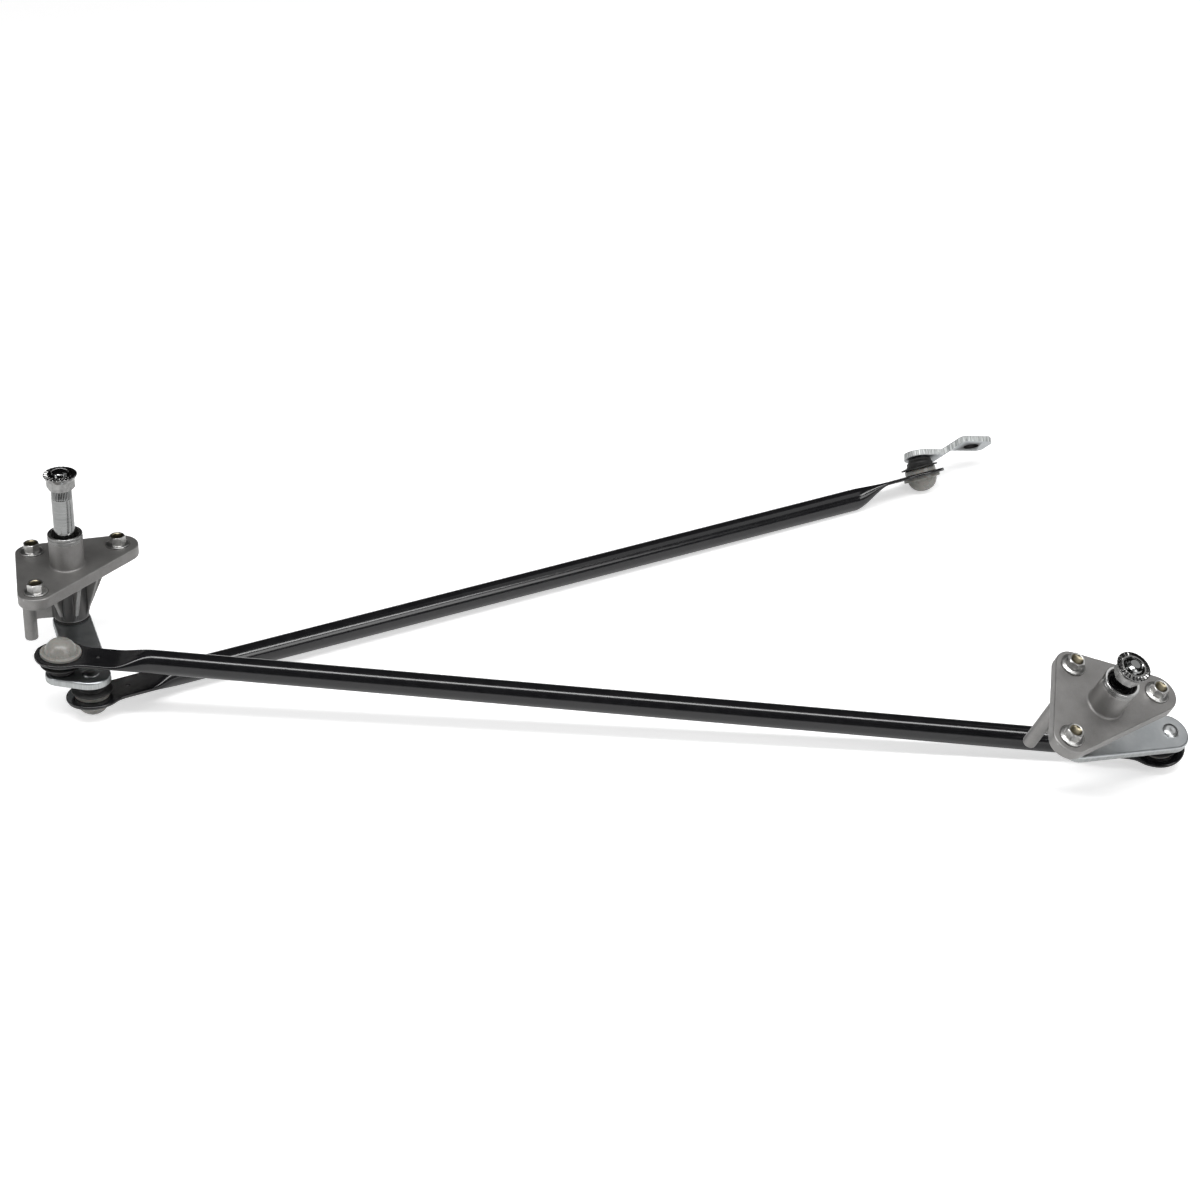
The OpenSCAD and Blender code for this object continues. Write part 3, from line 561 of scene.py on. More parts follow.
black_coat, boot_rubber, socket_nylon = black_coat_finish(), rubber_finish(), nylon_finish()
tell(black_coat, boot_rubber, socket_nylon)

# %% [markdown]
# ## The castings
#
# On the real part, liquid alloy fills a mould and a machine then bores it. We do the same. First come
# rough forms that simply overlap: plate, boss and hub, ribs, post, web and thread bosses. A voxel
# remesh melts them into one skin and a little smoothing rounds every corner, as in a mould. Then a
# boolean bores the spindle hole and the bolt holes, so those edges stay crisp.

# %% Rough forms of a casting
plate_thickness, boss_height, hub_length = 7.0, 20.0, 34.6
boss_radius, boss_fillet, hub_radius = 10.25, 1.0, 10.5
bolt_places = [Vector((-20, 20, 0)), Vector((-20, -31, 0)), Vector((31, 20, 0))]
plate_radii = [10.0, 10.8, 12.4]
rib_reach, rib_foot = 22.8, 1.2
post_place = Vector((-24.5, -3, 0))
post_length, post_radius, web_depth = 46.0, 4.0, 32.5


def slab(outline, levels):
    """A plate from an outline, with (inset, height) levels that roll its edges."""
    count = len(outline)
    ring = [Vector(p[:2]) for p in outline]
    rings = []
    for inset, height in levels:
        level = []
        for i, p in enumerate(ring):
            side = (ring[(i + 1) % count] - ring[i - 1]).normalized()
            level.append((p.x - side.y * inset, p.y + side.x * inset, height))
        rings.append(level)
    return skin(rings)


def rolled_levels(bottom, top, roll, steps=5):
    """Levels of a plate whose two edges are quarter rounds."""
    turns = [math.pi / 2 * i / steps for i in range(steps + 1)]
    under = [(roll * (1 - math.sin(t)), bottom + roll * (1 - math.cos(t))) for t in turns]
    over = [(roll * (1 - math.cos(t)), top - roll * (1 - math.sin(t))) for t in turns]
    return under + over


def side_facing(start, start_radius, end, end_radius):
    """Direction that a tangent side looks to, in radians, between two discs passed on their right."""
    run = end - start
    lean = math.asin((start_radius - end_radius) / run.length)
    return math.atan2(run.y, run.x) - math.pi / 2 + lean


def belt(places, radii, steps=16):
    """Outline round discs, anticlockwise. A disc with a negative radius is passed on its other side."""
    count = len(places)
    facing = [
        side_facing(places[i], radii[i], places[(i + 1) % count], radii[(i + 1) % count])
        for i in range(count)
    ]
    outline = []
    for i, place in enumerate(places):
        sweep = (facing[i] - facing[i - 1]) % (2 * math.pi)
        sweep -= 2 * math.pi if radii[i] < 0 else 0
        for k in range(steps + 1):
            outline.append(place + polar(radii[i], math.degrees(facing[i - 1] + sweep * k / steps)))
    return outline


def plate_edge(outline, angle):
    """Distance from the axis to a convex outline, in one direction."""
    way = polar(1, angle)
    best = 1000.0
    for p, q in zip(outline, outline[1:] + outline[:1]):
        out = Vector((q.y - p.y, p.x - q.x, 0))
        if out.dot(way) > 1e-9:
            best = min(best, out.dot(p) / out.dot(way))
    return best


def box_form(low, high):
    corners = [(low[0], low[1]), (high[0], low[1]), (high[0], high[1]), (low[0], high[1])]
    return skin([[(*c, low[2]) for c in corners], [(*c, high[2]) for c in corners]])


def rib_form(angle, reach):
    half, top, tip = 1.2, 1 - plate_thickness, rib_foot - hub_length
    side = [(6, top), (reach, top), (reach, top - 1 - rib_foot), (hub_radius, tip), (6, tip)]
    rings = [[(x, y, z) for x, z in side] for y in (-half, half)]
    return moved(skin(rings), Matrix.Rotation(math.radians(angle), 4, "Z"))


def barrel_form():
    root = hub_radius + 0.96
    path = [(0, -hub_length, 0), (hub_radius, -hub_length, 0.7), (root, -plate_thickness, 0)]
    path += [(root, -2, 0), (boss_radius + boss_fillet, -0.6, 0)]
    for a in [math.pi / 2 * i / 7 for i in range(8)]:
        rise = boss_fillet * (1 - math.cos(a))
        path.append((boss_radius + boss_fillet * (1 - math.sin(a)), rise, 0))
    seat = boss_radius - 0.9
    path += [(boss_radius, boss_height - 3, 0), (seat, boss_height - 3, 0), (seat, boss_height, 0)]
    return lathe(rounded(path + [(0, boss_height, 0)]))


def casting_forms():
    outline = belt(bolt_places, plate_radii)
    forms = [slab(outline, rolled_levels(-plate_thickness, 0, 0.5)), barrel_form()]
    for angle in range(14, 374, 45):
        forms.append(rib_form(angle, min(rib_reach, plate_edge(outline, angle) - 0.8)))
    post = [(0, -post_length, 0), (post_radius, -post_length, 0.8), (post_radius, -3, 0), (0, -3, 0)]
    forms.append(moved(lathe(rounded(post), count=48), Matrix.Translation(post_place)))
    forms.append(box_form((post_place.x, post_place.y - 2, -web_depth), (-6, post_place.y + 2, -3)))
    boss = [(0, -plate_thickness - 1, 0), (7.5, -plate_thickness - 1, 0.4), (7.5, -3, 0), (0, -3, 0)]
    forms += [moved(lathe(rounded(boss), count=64), Matrix.Translation(p)) for p in bolt_places]
    return forms


print("a casting is melted from", len(casting_forms()), "forms")

# %% Melt, smooth and bore


def melted(forms, voxel, passes):
    """One skin round overlapping forms, softened as a casting is."""
    lump = bpy.data.objects.new("lump", mesh_of("lump", forms))
    scene.collection.objects.link(lump)
    melt = lump.modifiers.new("melt", "REMESH")
    melt.mode, melt.voxel_size = "VOXEL", voxel * MM
    soften = lump.modifiers.new("soften", "SMOOTH")
    soften.factor, soften.iterations = 0.5, passes
    bpy.context.view_layer.update()
    ready = lump.evaluated_get(bpy.context.evaluated_depsgraph_get())
    mesh = bpy.data.meshes.new_from_object(ready)
    bpy.data.objects.remove(lump)
    return mesh


def bore_tools():
    bush_seat, relief, seal_seat = 7.78, 7.03, 8.5
    bore = [(0, -36), (bush_seat, -36), (bush_seat, -23.6), (relief, -23.6), (relief, 3)]
    bore += [(bush_seat, 3), (bush_seat, 14), (seal_seat, 14), (seal_seat, 22), (0, 22)]
    tools = [lathe(bore)]
    bolt_hole = [(0, -11), (3, -11), (3, -0.4), (7.6, -0.4), (7.6, 2), (0, 2)]
    tools += [moved(lathe(bolt_hole, count=64), Matrix.Translation(p)) for p in bolt_places]
    return tools


def between_ribs(p):
    return -33.5 < p.z < -7.4 and p.xy.length < hub_radius + 1.9


casting = cut_out(melted(casting_forms(), voxel=0.42, passes=3), bore_tools())
# the skin between the ribs is marked for painted shade
mark(casting, "painted_rib_shade", between_ribs)
for side, place in casting_frames.items():
    copy = casting.copy()
    add_piece(f"{side}_pivot_housing", f"{side}_housing", cast_alloy, copy, place)

# %% [markdown]
# ## Boss ring and seal
#
# A thin steel ring is pressed over the boss and its lip turned in. Two bright lines at the top of the
# boss are its lower edge and its lip, painted near white as painted highlights. Inside it a rubber
# seal closes the pocket round the spindle.
# Both are turned forms with rounded corners, so two paths on the lathe are enough.

# %% Rings and seals
ring_path = rounded([
    (9.36, 17, 0), (10.4, 17, 0.2), (10.4, 18.8, 0.15), (10.2, 19.0, 0.1), (10.2, 19.25, 0.1),
    (10.4, 19.45, 0.15), (10.4, 20.9, 0.45), (8.75, 20.9, 0.4), (8.75, 20.02, 0.1), (9.36, 20.02, 0),
])
seal_path = rounded([
    (6.75, 18.2, 0.2), (6.95, 16.9, 0.2), (6.95, 15.6, 0.1), (8.48, 15.6, 0.1), (8.48, 17.6, 0.5),
    (7.6, 17.5, 0.3),
])
for side, place in spindle_frames.items():
    body = f"{side}_housing"
    ring = mesh_of("boss_ring", [lathe(ring_path, closed=True)])
    # the ring's lower edge and lip are marked for a painted highlight
    mark(ring, "lip", lambda p: not 17.15 < p.z < 20.72)
    add_piece(f"{side}_boss_ring", body, ring_steel, ring, place)
    seal = mesh_of("spindle_seal", [lathe(seal_path, closed=True)])
    add_piece(f"{side}_spindle_seal", body, boot_rubber, seal, place)

# %% [markdown]
# ## Bolts
#
# A flange bolt has a hexagon whose corners are turned off by a cone, so each flat ends in a small
# arch. That arch comes for free if a ring's radius is the smaller of the hexagon and the cone, and
# the mesh is fine enough to follow it. The head is dished, which saves steel and holds the gold
# passivation. The same rule makes the nuts.

# %% Bolt heads


def hexagon(angle, flats):
    """Radius of a hexagon at an angle, by its width across flats."""
    return flats / 2 / math.cos((angle + math.pi / 6) % (math.pi / 3) - math.pi / 6)


def spread(start, end, count):
    return [start + (end - start) * i / (count - 1) for i in range(count)]


def bolt_head():
    flats, top, dish_radius, dish_depth = 8.8, 6.3, 3.5, 1.15

    def head_shape(angle, radius, height):
        cone = flats / 2 - 0.1 + (top - height) * 1.5
        return min(hexagon(angle, flats), cone, radius), height

    flange = rounded([(0, 0, 0), (7, 0, 0.35), (7, 1.05, 0.5), (5.2, 1.75, 0.4), (0, 2.0, 0)])
    dish = [(dish_radius * math.cos(t), top - dish_depth * math.sin(t)) for t in spread(0.2, 1.57, 9)]
    walls = [(9, z) for z in spread(1.0, 5.2, 5) + spread(5.35, top, 10)]
    lip = [(3.95, top), (3.7, top - 0.06)]
    return [lathe(flange), lathe(walls + lip + dish, count=144, shape=head_shape)]


def in_dish(p):
    return p.z > 4.5 and min((p - c).xy.length for c in bolt_places) < 3.6


thread = [(3 - 0.3 * (i % 2), -6.9 + 0.5 * i, 0) for i in range(13)]
shank = [(0, -7.6, 0), (2.5, -7.6, 0), (3, -7.1, 0)] + thread + [(2.9, 0, 0), (0, 0.5, 0)]
shank_path = rounded(shank)
seat_depth, head_turns = 0.4, (8, 41, 23)
for side, place in casting_frames.items():
    parts = []
    for centre, turn in zip(bolt_places, head_turns):
        at = Matrix.Translation(centre - Vector((0, 0, seat_depth))) @ turned(0, 0, turn)
        parts += [moved(part, at) for part in bolt_head() + [lathe(shank_path, count=48)]]
    mesh = mesh_of("bolts", parts)
    mark(mesh, "dish", in_dish)
    add_piece(f"{side}_mounting_bolts", f"{side}_housing", bolt_zinc, mesh, place, 25)

# %% [markdown]
# ## Spindle nuts
#
# The nuts are spun on upside down for transport, flange uppermost, so the serrated bearing face looks
# at us. Its teeth are shallow wedges that run out to the rim. A wave in the angle lifts and lowers
# the points of that face only, which is simpler than cutting two dozen grooves.

# %% Nuts
nut_tops, nut_turns = {"left": 60.0, "right": 35.0}, {"left": 31, "right": 12}
nut_height, nut_flats = 9.5, 14.6
wedge_count, wedge_height, wedge_inside, wedge_outside = 24, 0.5, 7.3, 9.75


def wedge(angle, count):
    """A sawtooth with a steep and a shallow side, from 0 to 1."""
    phase = angle * count / (2 * math.pi) % 1
    return phase / 0.75 if phase < 0.75 else (1 - phase) / 0.25


def nut_parts():
    def hex_shape(angle, radius, height):
        cone = nut_flats / 2 - 0.2 + height * 1.6
        return min(hexagon(angle, nut_flats), cone, radius), height

    def face_shape(angle, radius, height):
        on_wedges = wedge_inside < radius < wedge_outside and height > 9
        rise = wedge_height * wedge(angle, wedge_count) if on_wedges else wedge_height
        return radius, height - wedge_height + rise

    walls = [(9, z) for z in spread(0.02, 1.1, 9) + [3.5, 6.9]]
    hex_path = [(5.4, 0.0), (6.4, 0.0)] + walls + [(5.4, 6.9)]
    flange = [(5.02, 6.4), (8.9, 6.4), (9.25, 7.4), (9.8, 8.4), (10, 8.75), (9.95, 9.05), (9.7, 9.3)]
    face = [(9.45, 9.5), (9.0, 9.5), (8.2, 9.5), (7.5, 9.5), (7.2, 9.5), (6.4, 9.45), (5.02, 8.3)]
    return [
        lathe(hex_path, closed=True, count=144, shape=hex_shape),
        lathe(flange + face, closed=True, count=192, shape=face_shape),
    ]


def in_wedge_valley(p):
    return wedge_inside < p.xy.length < wedge_outside and 8.5 < p.z < 9.25


for side, place in spindle_frames.items():
    rise = Matrix.Translation((0, 0, nut_tops[side] - nut_height))
    at = place @ rise @ turned(0, 0, nut_turns[side])
    mesh = mesh_of("nut", nut_parts())
    # the valleys of the serrated face are marked for painted shade
    mark(mesh, "groove", in_wedge_valley)
    add_piece(f"{side}_spindle_nut", f"{side}_lever", nut_zinc, mesh, at, 25)

# %% [markdown]
# ## Spindles
#
# A spindle is one bar with several turned lands: a peened foot under the lever, a ground journal, a
# groove for the clip, a short serrated cone that grips the wiper arm, and a thread. The serration
# and the thread are both changes of radius, one with the angle and one with angle and height
# together, so the lathe's shape function makes them.

# %% Spindles with serration and thread
journal_radius, tooth_tip, tooth_depth, teeth_length = 6.25, 6.1, 0.5, 6.0
tooth_count, thread_radius, thread_pitch = 36, 4.98, 1.5


def spindle_parts(nut_top):
    nut_bottom = nut_top - nut_height
    teeth_low = nut_bottom - teeth_length

    def land_shape(angle, radius, height):
        if teeth_low + 0.3 < height < nut_bottom - 0.05:
            run_in = min((height - teeth_low) / 0.8, 1)
            phase = angle * tooth_count / (2 * math.pi) % 1
            return tooth_tip - tooth_depth * run_in * abs(2 * phase - 1), height
        if height > nut_top - 1 and radius > 3:
            turn = (height / thread_pitch - angle / (2 * math.pi)) % 1
            return radius - 0.55 * abs(2 * turn - 1), height
        return radius, height

    foot = [(0, -42.5), (5.9, -42.5), (6.6, -42.2), (7.2, -41.5), (7.45, -40.6), (7.4, -40.48)]
    journal = [(5.95, -40.48), (5.95, -36.02), (6.1, -36.0), (journal_radius, -35.8)]
    journal += [(journal_radius, 14.3), (5.45, 14.3), (5.45, 15.3), (journal_radius, 15.3)]
    journal += [(journal_radius, teeth_low - 0.3), (tooth_tip, teeth_low)]
    teeth = [(tooth_tip, z) for z in spread(teeth_low + 0.35, nut_bottom - 0.1, 8)]
    teeth += [(5.6, nut_bottom), (thread_radius, nut_bottom)]
    thread = [(thread_radius, nut_top - 1.1)]
    thread += [(thread_radius, z) for z in spread(nut_top - 0.95, nut_top + 1.1, 22)]
    tip = [(4.2, nut_top + 1.4), (3.6, nut_top + 1.75), (2.6, nut_top + 1.95), (0, nut_top + 2.0)]
    return [lathe(foot + journal + teeth + thread + tip, count=216, shape=land_shape)]


def in_tooth_valley(p, nut_bottom):
    return nut_bottom - 5.7 < p.z < nut_bottom - 0.05 and p.xy.length < 5.85


for side, place in spindle_frames.items():
    mesh = mesh_of("spindle", spindle_parts(nut_tops[side]))
    # the serration's valleys are marked for painted shade
    mark(mesh, "groove", lambda p: in_tooth_valley(p, nut_tops[side] - nut_height))
    add_piece(f"{side}_spindle", f"{side}_lever", ground_chrome, mesh, place, 40)

# %% [markdown]
# ## Levers
#
# A lever is punched from plate. The punch drags the metal down at the upper edge, so that edge is
# rolled, and it leaves the lower one nearly sharp. The outline is a belt round discs: one round the
# spindle and one round each ball. The left lever runs to its drive ball and has a foot that carries
# the front ball, so its inner corner takes a disc that the belt passes on the outside.

# %% Lever outlines
hub_disc, front_disc, drive_disc, inner_corner = 11.5, 10.0, 11.7, 5.0
spindle = Vector((0, 0, 0))


def corner_disc(radius):
    """Centre of the disc that fills the left lever's inner corner."""
    strip = polar(1, math.degrees(side_facing(spindle, hub_disc, drive_arm, drive_disc)))
    foot = polar(1, math.degrees(side_facing(drive_arm, drive_disc, front_arm, front_disc)))
    reach = Vector((hub_disc + radius, foot.dot(drive_arm) + drive_disc + radius))
    return (Matrix((strip.xy, foot.xy)).inverted() @ reach).to_3d()


left_outline = belt(
    [spindle, corner_disc(inner_corner), front_arm, drive_arm],
    [hub_disc, -inner_corner, front_disc, drive_disc],
)
right_outline = belt([spindle, right_arm], [hub_disc, drive_disc])
print("lever outlines have", len(left_outline), "and", len(right_outline), "points")

# %% Lever plates


rolled_edge, spindle_hole, pin_hole = 1.4, 6, 4


def lever_levels():
    turns = spread(0, math.pi / 2, 7)
    under = [(0.25, lever_bottom), (0.08, lever_bottom + 0.08), (0, lever_bottom + 0.3)]
    over = [
        (rolled_edge * (1 - math.cos(t)), lever_top - rolled_edge * (1 - math.sin(t))) for t in turns
    ]
    return under + [(0, lever_bottom + 1.6)] + over


def lever_holes(arms):
    spindle_drill, pin_drill = (
        lathe([(0, -43), (r, -43), (r, -33), (0, -33)], count=64) for r in (spindle_hole, pin_hole)
    )
    return [spindle_drill] + [moved(pin_drill, Matrix.Translation(arm)) for arm in arms]


lever_plans = {
    "left": (left_spindle_frame, left_outline, [front_arm, drive_arm]),
    "right": (right_pivot_frame, right_outline, [right_arm]),
}
for side, (place, outline, arms) in lever_plans.items():
    plate = cut_out(mesh_of("lever", [slab(outline, lever_levels())]), lever_holes(arms))
    add_piece(f"{side}_lever_plate", f"{side}_lever", zinc_plate, plate, place)

# %% [markdown]
# ## Motor crank
#
# The crank is a flat strip with two bends. We walk along its side view, which is a rounded path, and
# at each step set a section across it: as wide as the plan allows, as thick as the strip, with
# slightly broken corners. The plan rounds one end over and clips the corners of the other.

# %% Crank
strip_half, strip_thickness, step_height = 10.0, 4.0, 9.5
crank_end, clipped_from = 52.0, 49.0
motor_hole_place, motor_hole_radius = Vector((40, 0, 0)), 5.0


def crank_half_width(x):
    if x < 0:
        return math.sqrt(max(strip_half**2 - x * x, 0.01))
    return strip_half - max(0, x - clipped_from)


def crank_section(half, thickness, corner=0.45):
    corner = min(corner, half * 0.8)
    plan = [(-half, 0), (half, 0), (half, thickness), (-half, thickness)]
    return rounded([(*p, corner) for p in plan], 3)


def crank_rings():
    side = [(-strip_half, 0, 0), (13, 0, 9), (30, step_height, 6), (crank_end, step_height, 0)]
    round_end = [(-strip_half * math.cos(t), 0) for t in spread(0.02, math.pi / 2, 16)]
    bends = [p for p in rounded(side, 8) if 0.5 < p[0] < 48.5]
    clipped_end = [(x, step_height) for x in (44, clipped_from, 50, 51.7, crank_end)]
    path = sorted(set(round_end + [(4, 0), (8, 0)] + bends + clipped_end))
    rings = []
    for i, (x, z) in enumerate(path):
        before, after = path[max(i - 1, 0)], path[min(i + 1, len(path) - 1)]
        slope = math.atan2(after[1] - before[1], after[0] - before[0])
        half = crank_half_width(x) - (0.3 if x == crank_end else 0)
        rings.append([
            (x - math.sin(slope) * up, across, ball_drop + z + math.cos(slope) * up)
            for across, up in crank_section(half, strip_thickness)
        ])
    return rings


motor_drill = [(0, 18), (motor_hole_radius, 18), (motor_hole_radius, 30), (0, 30)]
crank_drills = [
    lathe([(0, 10), (pin_hole, 10), (pin_hole, 18), (0, 18)], count=48),
    moved(lathe(motor_drill, count=64), Matrix.Translation(motor_hole_place)),
]
crank = cut_out(mesh_of("crank", [skin(crank_rings())]), crank_drills)
# the motor hole's wall is marked for painted shade
mark(crank, "bore", lambda p: (p - motor_hole_place).xy.length < motor_hole_radius + 0.05)
add_piece("crank_arm", "crank", crank_zinc, crank, stud_frames["drive_right"])

# %% [markdown]
# ## Ball studs
#
# A stud is a turned ball on a neck, with a shoulder that seats on the plate and a shank that is
# peened over behind it. The peened head is the only part that shows, a low dome with a rolled rim and
# a small flat where the tool ended.

# %% Studs


ball_radius, lever_thickness = 7.0, lever_top - lever_bottom
peened_head = [
    (4.85, 0), (5, 0.35), (4.8, 0.8), (3.9, 1.35), (2.6, 1.68), (1.4, 1.75), (1.1, 1.66), (0, 1.66),
]


def stud_path(plate):
    around = spread(-math.pi / 2, 0.94, 24)
    ball = [(ball_radius * math.cos(t), ball_radius * math.sin(t)) for t in around]
    seat = ball_drop
    neck = [(pin_hole, 6.2), (pin_hole, seat - 1.2), (4.3, seat - 1), (5.5, seat - 1), (5.5, seat)]
    neck += [(pin_hole, seat), (pin_hole, seat + plate)]
    return ball + neck + [(r, seat + plate + z) for r, z in peened_head]


stud_plans = [
    ("left_front_ball_stud", "left_lever", "front_left", lever_thickness),
    ("left_drive_ball_stud", "left_lever", "drive_left", lever_thickness),
    ("right_ball_stud", "right_lever", "front_right", lever_thickness),
    ("crank_ball_stud", "crank", "drive_right", strip_thickness),
]
for name, body, joint, plate in stud_plans:
    mesh = mesh_of(name, [lathe(stud_path(plate), count=72)])
    add_piece(name, body, stud_steel, mesh, stud_frames[joint])

# %% [markdown]
# ## Nylon sockets
#
# Each socket snaps into the eye from one side. A flat flange bears on the eye, a dome covers the
# ball, and a collar behind the eye has sprung open to hold it. A shallow groove runs between dome
# and flange, and it is what makes the cap read as two forms in the light.

# %% Sockets


def socket_path():
    dome = [(9.7 * math.cos(t) ** 0.9, 9.1 * math.sin(t)) for t in spread(-math.pi / 2, -0.19, 24)]
    flange = [(9.75, -1.5, 0.1), (9.9, -1.2, 0.1), (10.25, -1.4, 0.15), (12, -1.5, 0.5), (12, 0.5, 0.3)]
    neck = [(9.58, 0.5, 0), (9.58, 2.72, 0), (10.2, 2.72, 0.3), (10.2, 5.4, 0.5), (9.5, 6.0, 0.4)]
    mouth = [(8.42, 6.0, 0.2), (6.38, 3.0, 0.2)]
    cavity = [(7.05 * math.cos(t), 7.05 * math.sin(t)) for t in spread(0.44, -math.pi / 2, 16)]
    corners = [(*dome[-1], 0)] + flange + neck + mouth + [(*cavity[0], 0)]
    return dome[:-1] + rounded(corners, 4) + cavity[1:]


joint_bodies = {joint: joint.split("_")[0] + "_link" for joint in eye_frames}
for joint, body in joint_bodies.items():
    mesh = mesh_of("socket", [lathe(socket_path())])
    add_piece(f"{joint}_socket", body, socket_nylon, mesh, eye_frames[joint], 40)

# %% [markdown]
# ## Rubber boots
#
# A boot keeps grease in and water out. Its brim lies on the socket's collar, square to the eye, and
# its top seals round the stud, square to the lever. Where the two lean apart, the neck bends. So we
# skin rings whose axis swings from one frame to the other on the way up, and the folds lean with it.

# %% Boots
boot_path = rounded([
    (8.45, 6.02, 0), (11.9, 6.02, 0.2), (12.25, 6.45, 0.3), (12.1, 7.0, 0.25), (10.2, 7.3, 0.5),
    (8.4, 7.75, 0.5), (8.15, 8.6, 0.4), (8.75, 9.25, 0.4), (7.9, 9.9, 0.4), (7.35, 10.5, 0.4),
    (7.75, 11.2, 0.35), (7.3, 11.88, 0.3), (5.85, 11.88, 0.15), (5.85, 10.9, 0.3), (6.8, 8.8, 0.5),
    (7.6, 7.2, 0.4),
], 4)


def ease(t):
    """Goes from 0 to 1 as t does, and starts and stops gently."""
    t = min(max(t, 0), 1)
    return t * t * (3 - 2 * t)


def boot_rings(joint, count=72):
    eye, stud = eye_frames[joint].to_3x3(), stud_frames[joint].to_3x3()
    lean = (eye.transposed() @ stud).col[2]
    spokes = [2 * math.pi * i / count for i in range(count)]
    rings = []
    for radius, height in boot_path:
        axis = Vector((0, 0, 1)).lerp(lean, ease((height - 7.3) / 2.6)).normalized()
        across = (Vector((1, 0, 0)) - axis * axis.x).normalized()
        beside = axis.cross(across)
        ring = []
        for a in spokes:
            out = across * math.cos(a) + beside * math.sin(a)
            ring.append(tuple(axis * height + out * radius))
        rings.append(ring)
    return rings


for joint, body in joint_bodies.items():
    mesh = mesh_of("boot", [skin(boot_rings(joint), closed=True)])
    add_piece(f"{joint}_boot", body, boot_rubber, mesh, eye_frames[joint], 60)

# %% [markdown]
# ## Link tubes
#
# Each link is one length of steel tube, and both its ends are pressed flat, pierced and cut round.
# Flattening keeps the length of the wall, so the section gets wider as it gets thinner. We skin
# sections along the link: a circle is a slot of no length, and a slot grows as the press closes. A
# boolean then pierces the socket hole and the small pilot hole.

# %% Sections of a link
tube_radius, eye_radius, tongue_half = 7.0, 15.4, 11.0
tongue_end, round_start = 31.0, 55.0
socket_hole, pilot_hole, pilot_place = 9.6, 1.5, 22
flat_half = eye_thickness / 2


def opened(x):
    """How far the tube is open at a distance x from the ball: 0 flat, 1 round."""
    return ease((x - tongue_end) / (round_start - tongue_end))


def end_section(x):
    """Half width and half thickness at a distance x from the ball, towards the tube."""
    half_wide = tongue_half + (tube_radius - tongue_half) * opened(x)
    half_thick = flat_half + (tube_radius - flat_half) * opened(x)
    if x < eye_radius:
        disc = math.sqrt(eye_radius**2 - x * x)
        soft = 2.5 * ease(x / 8)
        half_wide = disc if x <= 0 else (disc + half_wide + math.hypot(disc - half_wide, soft)) / 2
        tip = max(0, -x - eye_radius + flat_half) / flat_half
        half_thick *= math.sqrt(max(1 - tip**2, 0.002))
    return half_wide, half_thick


def section_points(half_wide, half_thick, count=64):
    """A slot with round ends, its points spread so that a slot of no length is a circle."""
    slot = max(half_wide - half_thick, 0)
    ends = min(half_thick, half_wide)
    ring = []
    for i in range(count):
        angle = 2 * math.pi * i / count
        push = min(max(3.5 * math.cos(angle), -1), 1)
        ring.append((slot * push + ends * math.cos(angle), half_thick * math.sin(angle)))
    return ring


for spot, x in (("eye", 0), ("tongue", 24), ("tube", 60)):
    print(f"half width and thickness at the {spot}:", [round(v, 2) for v in end_section(x)])

# %% Skin of a link


def link_stations():
    disc = [-eye_radius * math.cos(t) for t in spread(0.01, math.pi / 2, 26)]
    return disc + spread(0.8, 16, 20) + [20, 24, 28] + spread(tongue_end, round_start, 34) + [60]


def link_rings(length, left, right, twist):
    """Rings from eye to eye. left and right are the heights of an eye and of the tube beside it."""
    stations = link_stations()
    plan = [(x, x) for x in stations]
    plan += [(x, 100) for x in spread(stations[-1], length - stations[-1], 14)[1:-1]]
    plan += [(length - x, x) for x in reversed(stations)]
    rings = []
    for x, from_ball in plan:
        share = min(max((x - round_start) / (length - 2 * round_start), 0), 1)
        turn = twist * share
        far_centre = Vector((-math.sin(twist), math.cos(twist))) * right[1]
        centre = Vector((0, left[1])).lerp(far_centre, share)
        if from_ball < round_start:
            eye_height, tube_height = left if x < length / 2 else right
            height = eye_height + (tube_height - eye_height) * opened(from_ball)
            centre = Vector((-math.sin(turn), math.cos(turn))) * height
        ring = []
        for wide, thick in section_points(*end_section(from_ball)):
            y = centre.x + wide * math.cos(turn) - thick * math.sin(turn)
            z = centre.y + wide * math.sin(turn) + thick * math.cos(turn)
            ring.append((x, y, z))
        rings.append(ring)
    return rings


def piercings(joints, place):
    """Socket and pilot holes at both ends of a link, in its own frame."""
    hole = lathe([(0, -3), (socket_hole, -3), (socket_hole, 6), (0, 6)], count=72)
    pilot = lathe([(0, -3), (pilot_hole, -3), (pilot_hole, 6), (0, 6)], count=32)
    tools = []
    for joint, side in joints:
        at = place.inverted() @ eye_frames[joint]
        tools += [moved(hole, at), moved(pilot, at @ Matrix.Translation((pilot_place * side, 0, 0)))]
    return tools


front_heights = (-eye_middle, 1.2 - eye_middle), (eye_middle, eye_middle - 2.4)
drive_heights = (eye_middle, eye_middle), (eye_middle, eye_middle - 4.5)
link_plans = {
    "front": (front_frame, (front_length, *front_heights, front_twist)),
    "drive": (drive_frame, (drive_length, *drive_heights, drive_twist)),
}
for link, (place, sizes) in link_plans.items():
    tube = mesh_of("tube", [skin(link_rings(*sizes))])
    tube = cut_out(tube, piercings([(f"{link}_left", 1), (f"{link}_right", -1)], place))
    add_piece(f"{link}_link_tube", f"{link}_link", black_coat, tube, place)

# %% [markdown]
# ## Hidden bearings
#
# Bushes, clips and thrust washers sit inside the pivots. Their CAD solids already have the right
# shape, and only a thin line of each can be seen, so they keep their meshes and get finishes.

# %% Finishes on the hidden pieces
hidden_finishes = {
    "upper_bush": bush_bronze,
    "lower_bush": bush_bronze,
    "retaining_clip": spring_steel,
    "thrust_washer": boot_rubber,
}
for side in ("left", "right"):
    for name, finish in hidden_finishes.items():
        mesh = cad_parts[f"{side}_{name}"].data
        mesh.materials.clear()
        mesh.materials.append(finish)
print("CAD meshes kept:", 2 * len(hidden_finishes))

